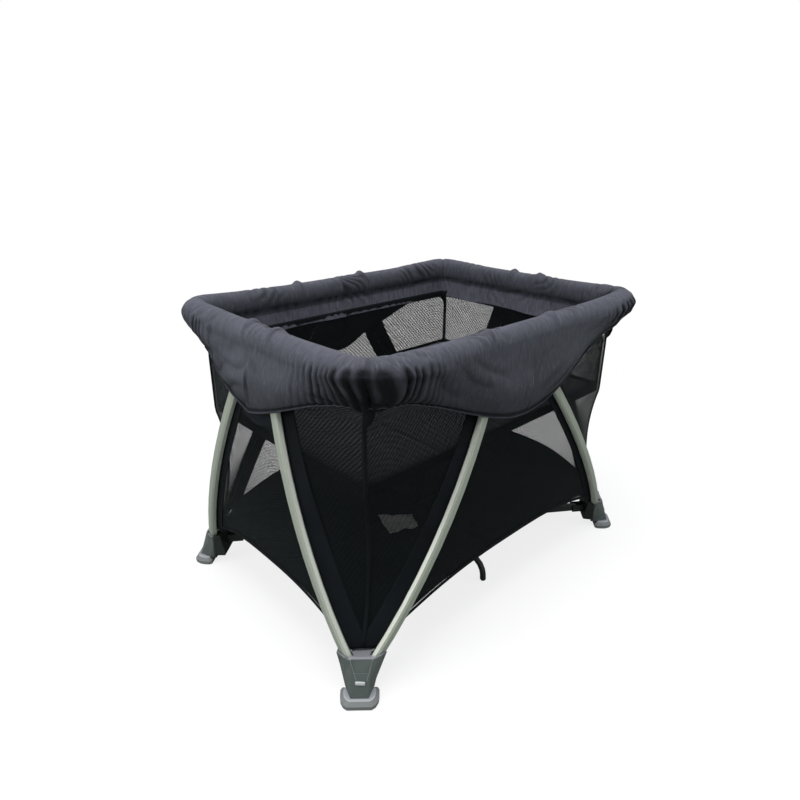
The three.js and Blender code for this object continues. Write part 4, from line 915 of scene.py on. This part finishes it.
for side, (family, along_way, out_way) in SIDES.items():
    body = f"{family}_hub_{side}"
    rail = out_way * (RAIL_Y if family == "long" else RAIL_X)
    fold_flat = {"axis": along_way, "anchor": rail, "keep": 0.16}
    if side == "back":
        # a webbing tab hangs inside the back wall
        rows = [[
            wall_point(side, x / leg_at(family, z)[0], z, -TAB_IN) for z in np.linspace(*TAB_HEIGHTS, 9)
        ] for x in np.linspace(*TAB_ENDS, 5)]
        cloth_sheet("back_wall_tab", rows, band_cloth, body, SEAM_THICK, fold_flat)
    rows = wall_strip(side, arch_z, yoke_z, 40)[::-1 if side in ("back", "left") else 1]
    cloth_sheet(f"side_net_{side}", rows, wall_net, body, 0, fold_flat,
                f"side_panel_{side}")
    rows = wall_strip(side, yoke_z, wall_top, 16, YOKE_OFF, dip=0.004)
    cloth_sheet(f"side_yoke_{side}", rows, wall_cloth, body, CLOTH_THICK, fold_flat)
    rows = wall_strip(side, arch_z, arch_z, 4, BINDING_OFF, dip=0.001, rise=0.011)
    cloth_sheet(f"side_binding_{side}", rows, band_cloth, body, BOUND_THICK, fold_flat)
    for end, label in ((-1, "low"), (1, "high")):
        rows = []
        for z in WALL_FOOT_Z + (BAND_TOP_Z - WALL_FOOT_Z) * np.linspace(0, 1, 40):
            edge = leg_at(family, z)[0]
            rows.append([
                wall_point(
                    side, end * (1 - k * BAND / edge), z, BAND_OFF + BAND_ROUGH * rough(z * 60, k * 3, end),
                ) for k in np.linspace(0, 1, 8)
            ])
        name = f"side_band_{side}_{label}"
        cloth_sheet(name, rows, band_cloth, body, CLOTH_THICK, fold_flat)


# ---------------------------------------------------------------- corner panels
# The corner between two sides' legs is one panel of the same net, tied low behind the foot, with a
# gathered cloth band along each leg and a bound seam down the corner.
PANEL_FOOT_Z, PANEL_TOP_Z = 0.108, 0.697
PANEL_SIDE_TOP_Z = 0.6624
KNEE_Z, TUCKED_Z = 0.635, 0.658  # between these the panel draws in behind the cover
TUCK, CORNER_FLAP_IN, FLAP_GAP = 0.005, 0.022, 0.0024  # its place against the cover's padding there
CORNER_BAND, SEAM_WIDTH = 0.046, 0.010
CORNER_BAND_OFF, SEAM_OFF = 0.0016, 0.0019  # how far each stands off the net
BAND_PUCKER = 0.0022  # how far a leg's band is gathered up
TRAY_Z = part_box("bassinet_insert")[0].z
seam_out = (CORNER_SEAM - bend_middle).normalized()


def panel_top(across):
    return PANEL_TOP_Z + (PANEL_SIDE_TOP_Z - PANEL_TOP_Z) * smooth(abs(across) / 0.6)


def panel_point(quadrant, across, z, stand_off=0.0):
    """A point of a corner's panel: across is -1 at the long side's leg and 1 at the short side's."""
    sx, sy = QUADRANTS[quadrant]
    z = min(z, panel_top(across))
    long_along, long_out = leg_at("long", min(z, LEG_TOP_Z))
    short_along, short_out = leg_at("short", min(z, LEG_TOP_Z))
    start = Vector((long_along + LEG_LAP, long_out - LEG_TO_WALL))
    end = Vector((short_out - LEG_TO_WALL, short_along + LEG_LAP))
    drop = min(1, max(0, (z - PANEL_FOOT_Z) / (TRAY_Z - PANEL_FOOT_Z)))
    tuck = min(1, max(0, (z - KNEE_Z) / (TUCKED_Z - KNEE_Z)))
    middle = ((start + end) / 2).lerp(CORNER_SEAM, drop) - seam_out * TUCK * tuck
    point = middle.lerp(start if across < 0 else end, abs(across))
    if -0.7 < across < 0:
        share = corner_share(point.x, LONG_HUB, bend_middle.x)
        behind_flap = RAIL_Y - (LONG_ROLL[1] * (1 - share) + CORNER_FLAP_IN * share) + CLOTH + FLAP_GAP
        point.y += (behind_flap - point.y) * tuck
    away = middle.normalized() * stand_off
    return Vector((sx * (point.x + away.x), sy * (point.y + away.y), z))


def band_pucker(z, k, end):
    """How far a leg's band is gathered up at a height, most at its inner edge."""
    wave = abs(math.sin(z * 260 + 1.5 * rough(z * 30, k, end)))
    return BAND_PUCKER * k * wave * smooth((z - 0.3) / 0.2)


for quadrant, (sx, sy) in QUADRANTS.items():
    body = f"foot_{quadrant}"
    low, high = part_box(f"foot_pad_{quadrant}")
    chord = panel_point(quadrant, 1, 0.6) - panel_point(quadrant, -1, 0.6)
    fold_flat = {"axis": chord, "anchor": (low + high) / 2, "keep": 0.12}
    rows = [[
        panel_point(quadrant, a, PANEL_FOOT_Z + (panel_top(a) - PANEL_FOOT_Z) * k)
        for k in np.linspace(0, 1, 56)
    ] for a in np.linspace(1, -1, 41)[::1 if sx * sy > 0 else -1]]
    cloth_sheet(f"corner_net_{quadrant}", rows, wall_net, body, 0, fold_flat,
                f"corner_panel_{quadrant}")
    half_wide = {z: (panel_point(quadrant, 1, z) - panel_point(quadrant, 0, z)).length
                 for z in np.linspace(PANEL_FOOT_Z, PANEL_TOP_Z, 40)}
    rows = [[
        panel_point(quadrant, side * SEAM_WIDTH / 2 / half, z, SEAM_OFF) for z, half in half_wide.items()
    ] for side in (1, 0, -1)]
    name = f"corner_seam_{quadrant}"
    cloth_sheet(name, rows, band_cloth, body, SEAM_THICK, fold_flat)
    for end, leg in ((-1, "long"), (1, "short")):
        rows = []
        for z in np.linspace(PANEL_FOOT_Z, PANEL_SIDE_TOP_Z, 90):
            width = (panel_point(quadrant, end, z) - panel_point(quadrant, 0, z)).length
            share = min(1.0, CORNER_BAND / width)
            rows.append([
                panel_point(quadrant, end * (1 - share * k), z, CORNER_BAND_OFF + band_pucker(z, k, end))
                for k in np.linspace(0, 1, 10)
            ])
        name = f"corner_band_{leg}_{quadrant}"
        cloth_sheet(name, rows, band_cloth, body, CLOTH_THICK, fold_flat)


# ---------------------------------------------------------------- floor cloth
# The floor is a dark cloth slung between the walls' lower edges and the corners behind the feet. It
# lies over the struts and folds in four, so it is made here as the four quarters that they carry.
FLOOR_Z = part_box("floor_cloth")[0].z + 0.002
FLOOR_CORNER = Vector((0.470, 0.318))
FLOOR_OVERLAP = 0.006  # height of the floor's edge over the walls' lower edges
FLOOR_IN, FLOOR_SAG = 0.0032, 0.004
CORNER_START = 0.88  # from this share of the way along a side the edge goes in to the corner
FLOOR_THICK, LABEL_THICK = 0.002, 0.0006
# the label's corners: the end that is sewn down, then the loose one
LABEL = [Vector(corner) for corner in ((-0.118, 0.022), (-0.150, -0.061), (-0.046, -0.037), (-0.073, -0.085))]
floor_cloth = woven(
    "dark_floor_cloth", (0.009, 0.011, 0.014), (0.014, 0.017, 0.021), 0.75, 0.0016, 0.03, shine=0.1
)


def floor_edge(family, along):
    """Distance out and height of the floor's edge, which is sewn to the wall, at a place along it."""
    across = min(1, abs(along) / leg_at(family, WALL_FOOT_Z)[0])
    z = arch_z(family, across) + FLOOR_OVERLAP
    return leg_at(family, z)[1] - LEG_BACK - FLOOR_IN, z


def floor_point(a, b):
    """A point of the floor cloth: a and b go from -1 to 1 along and across the playpen."""
    end_x, end_z = floor_edge("short", b * FLOOR_CORNER.y)
    side_y, side_z = floor_edge("long", a * FLOOR_CORNER.x)
    near_a, near_b = a**8, b**8
    corner_a, corner_b = (smooth((abs(t) - CORNER_START) / (1 - CORNER_START)) for t in (a, b))
    lift = near_b * (side_z - FLOOR_Z) + near_a * (end_z - FLOOR_Z)
    lift -= near_a * near_b * (WALL_FOOT_Z + FLOOR_OVERLAP - FLOOR_Z)
    sag = FLOOR_SAG * rough(a * 3, b * 3, 7.0) * (1 - a**4) * (1 - b**4)
    return Vector((
        a * (end_x + (FLOOR_CORNER.x - end_x) * corner_b),
        b * (side_y + (FLOOR_CORNER.y - side_y) * corner_a),
        FLOOR_Z + lift + sag,
    ))


def label_point(u, v):
    """A point of the crumpled label, just over the floor."""
    x, y = LABEL[0].lerp(LABEL[1], u).lerp(LABEL[2].lerp(LABEL[3], u), v)
    rise = max(0.002, 0.006 + 0.009 * rough(u * 3.1, v * 3.1, 17.0))
    return floor_point(x / FLOOR_CORNER.x, y / FLOOR_CORNER.y) + Vector((0, 0, rise))


for quadrant, (sx, sy) in QUADRANTS.items():
    body, strut = f"strut_{quadrant}", [f"base_strut_{quadrant}"]
    shares = 1 - (1 - np.linspace(0, 1, 49)) ** 1.5
    rows = [[floor_point(sx * a, sy * b) for b in shares] for a in (shares if sx * sy > 0 else shares[::-1])]
    strut_way = Vector((sx * FOOT.x, sy * FOOT.y, 0)).normalized()
    fold_flat = {"axis": (-strut_way.y, strut_way.x, 0), "anchor": (0, 0, FLOOR_Z), "keep": 0.12}
    name = f"floor_quarter_{quadrant}"
    cloth_sheet(name, rows, floor_cloth, body, FLOOR_THICK, fold_flat, "floor_cloth")
    if quadrant == "front_left":
        # a blank label is sewn to the floor by one end and lies crumpled
        label_cloth = woven("blank_label_cloth", (0.30, 0.30, 0.285), (0.40, 0.40, 0.38), 0.7, 0.0006, 0.1)
        rows = [[label_point(u, v) for v in np.linspace(0, 1, 14)] for u in np.linspace(0, 1, 14)]
        cloth_sheet("floor_label", rows, label_cloth, body, LABEL_THICK, fold_flat)


# ---------------------------------------------------------------- bassinet
# The raised bassinet is a net box with a bound seam in each corner, hung under the inner flap. Its
# stiff floor is hidden by the mattress, and a dark band runs round its foot and its top.
BASSINET = CORNER_SEAM - Vector((0.004, 0.004))  # half length and half width
FLARE_Z, FLARE_TALL = 0.633, 0.024  # where the walls lean out to the flap
CORNER_SMALL, CORNER_GROWTH = 0.009, 0.019  # the corners' radius, and how much it grows over the flare
SEAM_RADIUS, FLAP_ROOM, BAND_GROW = 0.003, 0.0006, 0.0011
BANDS = {"lower": (TRAY_Z - 0.001, TRAY_Z + 0.024), "upper": (0.660, 0.682)}
bassinet_net = netting("black_bassinet_net", (0.005, 0.007, 0.008), 0.0022, 0.62, 1.1)


def bassinet_plan(z):
    """Half length, half width and corner radius of the walls at a height."""
    flare = min(1, max(0, (z - FLARE_Z) / FLARE_TALL))
    half_x = BASSINET.x + (RAIL_X - ROLL - FLAP_ROOM - BASSINET.x) * flare
    return half_x, BASSINET.y, CORNER_SMALL + CORNER_GROWTH * flare


def rounded_ring(half_x, half_y, radius, z, steps=6):
    """Points round a level rectangle with rounded corners."""
    points = []
    for turn, (sx, sy) in enumerate(((1, 1), (-1, 1), (-1, -1), (1, -1))):
        for i in range(steps + 1):
            angle = math.pi / 2 * (turn + i / steps)
            points.append(Vector((
                sx * (half_x - radius) + radius * math.cos(angle),
                sy * (half_y - radius) + radius * math.sin(angle), z,
            )))
    return points


def dense(points, step=0.02):
    """The same closed line with points no further apart than step."""
    line = []
    for a, b in zip(points, points[1:] + points[:1]):
        count = max(1, math.ceil((b - a).length / step))
        line += [a.lerp(b, i / count) for i in range(count)]
    return line


def wrapped(heights, grow=0.0):
    """Rows of points up the bassinet's walls at some heights, all the way round and closed."""
    rings = [dense(rounded_ring(*(size + grow for size in bassinet_plan(z)), z)) for z in heights]
    rows = [list(line) for line in zip(*rings)]
    return rows + rows[:1]


lift = {"axis": (1, 0, 0), "anchor": (0, 0, TRAY_Z), "keep": 0.2}
heights = [TRAY_Z + 0.004, 0.52, 0.56, 0.60, *np.linspace(FLARE_Z, FLARE_Z + FLARE_TALL, 4), 0.680]
cloth_sheet("bassinet_walls", wrapped(heights), bassinet_net, "bassinet", 0, lift,
            "bassinet_insert")
for name, band in BANDS.items():
    rows = wrapped(np.linspace(*band, 4), BAND_GROW)
    cloth_sheet(f"bassinet_{name}_band", rows, band_cloth, "bassinet", BOUND_THICK, lift)
for quadrant, (sx, sy) in QUADRANTS.items():
    rows = []
    for z in heights:
        half_x, half_y, radius = bassinet_plan(z)
        seam_x, seam_y = half_x - 0.3 * radius, half_y - 0.3 * radius
        rows.append([Vector((
            sx * (seam_x + SEAM_RADIUS * math.cos(a)), sy * (seam_y + SEAM_RADIUS * math.sin(a)), z,
        )) for a in np.linspace(0, 2 * math.pi, 9)[:-1]])
    piece = woven_skin(f"bassinet_seam_{quadrant}", rows, looped=True, capped=True)
    piece.data.materials.append(band_cloth)
    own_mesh(piece)
    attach(piece, "bassinet")


# ---------------------------------------------------------------- mattress
# The mattress is a thin folding pad in dark cloth with a fine grid, sewn across where it folds and
# rounded at its edge. It lies loose on the bassinet's floor.
low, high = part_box("mattress_pad")
half_x, half_y, thick = high.x, high.y, high.z - low.z
PAD_FOLDS = (-0.5, 0, 0.5)  # as shares of the pad's half length
PAD_CORNER, GROOVE_WIDTH, GROOVE_DEPTH = 0.03, 0.006, 0.005
pad_cloth = woven("grid_pad_cloth", (0.014, 0.016, 0.019), (0.020, 0.022, 0.026), 0.75, 0.0014, 0.15)


def pad_surface(u, v, face):
    """A point of the pad: u and v go from -1 to 1, face is 1 on top and -1 below."""
    past_x = max(0, abs(u) * half_x - (half_x - PAD_CORNER))
    past_y = max(0, abs(v) * half_y - (half_y - PAD_CORNER))
    x = half_x * u - math.copysign(past_x * past_y / PAD_CORNER * 0.3, u)
    y = half_y * v - math.copysign(past_x * past_y / PAD_CORNER * 0.3, v)
    crown = (max(0, 1 - abs(u) ** 30) * max(0, 1 - abs(v) ** 24)) ** 0.4
    z = (low.z + high.z) / 2 + face * thick / 2 * crown * (1 if face < 0 else 1.05)
    if face > 0:
        for fold in PAD_FOLDS:
            z -= GROOVE_DEPTH * bell(x - fold * half_x, GROOVE_WIDTH)
        z += 0.0012 * rough(x * 14, y * 14, 3.0)
    return Vector((x, y, z))


us = np.sin(np.linspace(-math.pi / 2, math.pi / 2, 121))
us = np.sort(np.concatenate([us] + [np.linspace(fold - 0.03, fold + 0.03, 9) for fold in PAD_FOLDS]))
vs = np.sin(np.linspace(-math.pi / 2, math.pi / 2, 49))
rows = [[pad_surface(u, v, 1) for v in vs] + [pad_surface(u, v, -1) for v in vs[-2:0:-1]] for u in us]
piece = woven_skin("mattress", rows, looped=True, capped=True)
piece.data.materials.append(pad_cloth)
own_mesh(piece)
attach(piece, "mattress")
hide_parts("mattress_pad")
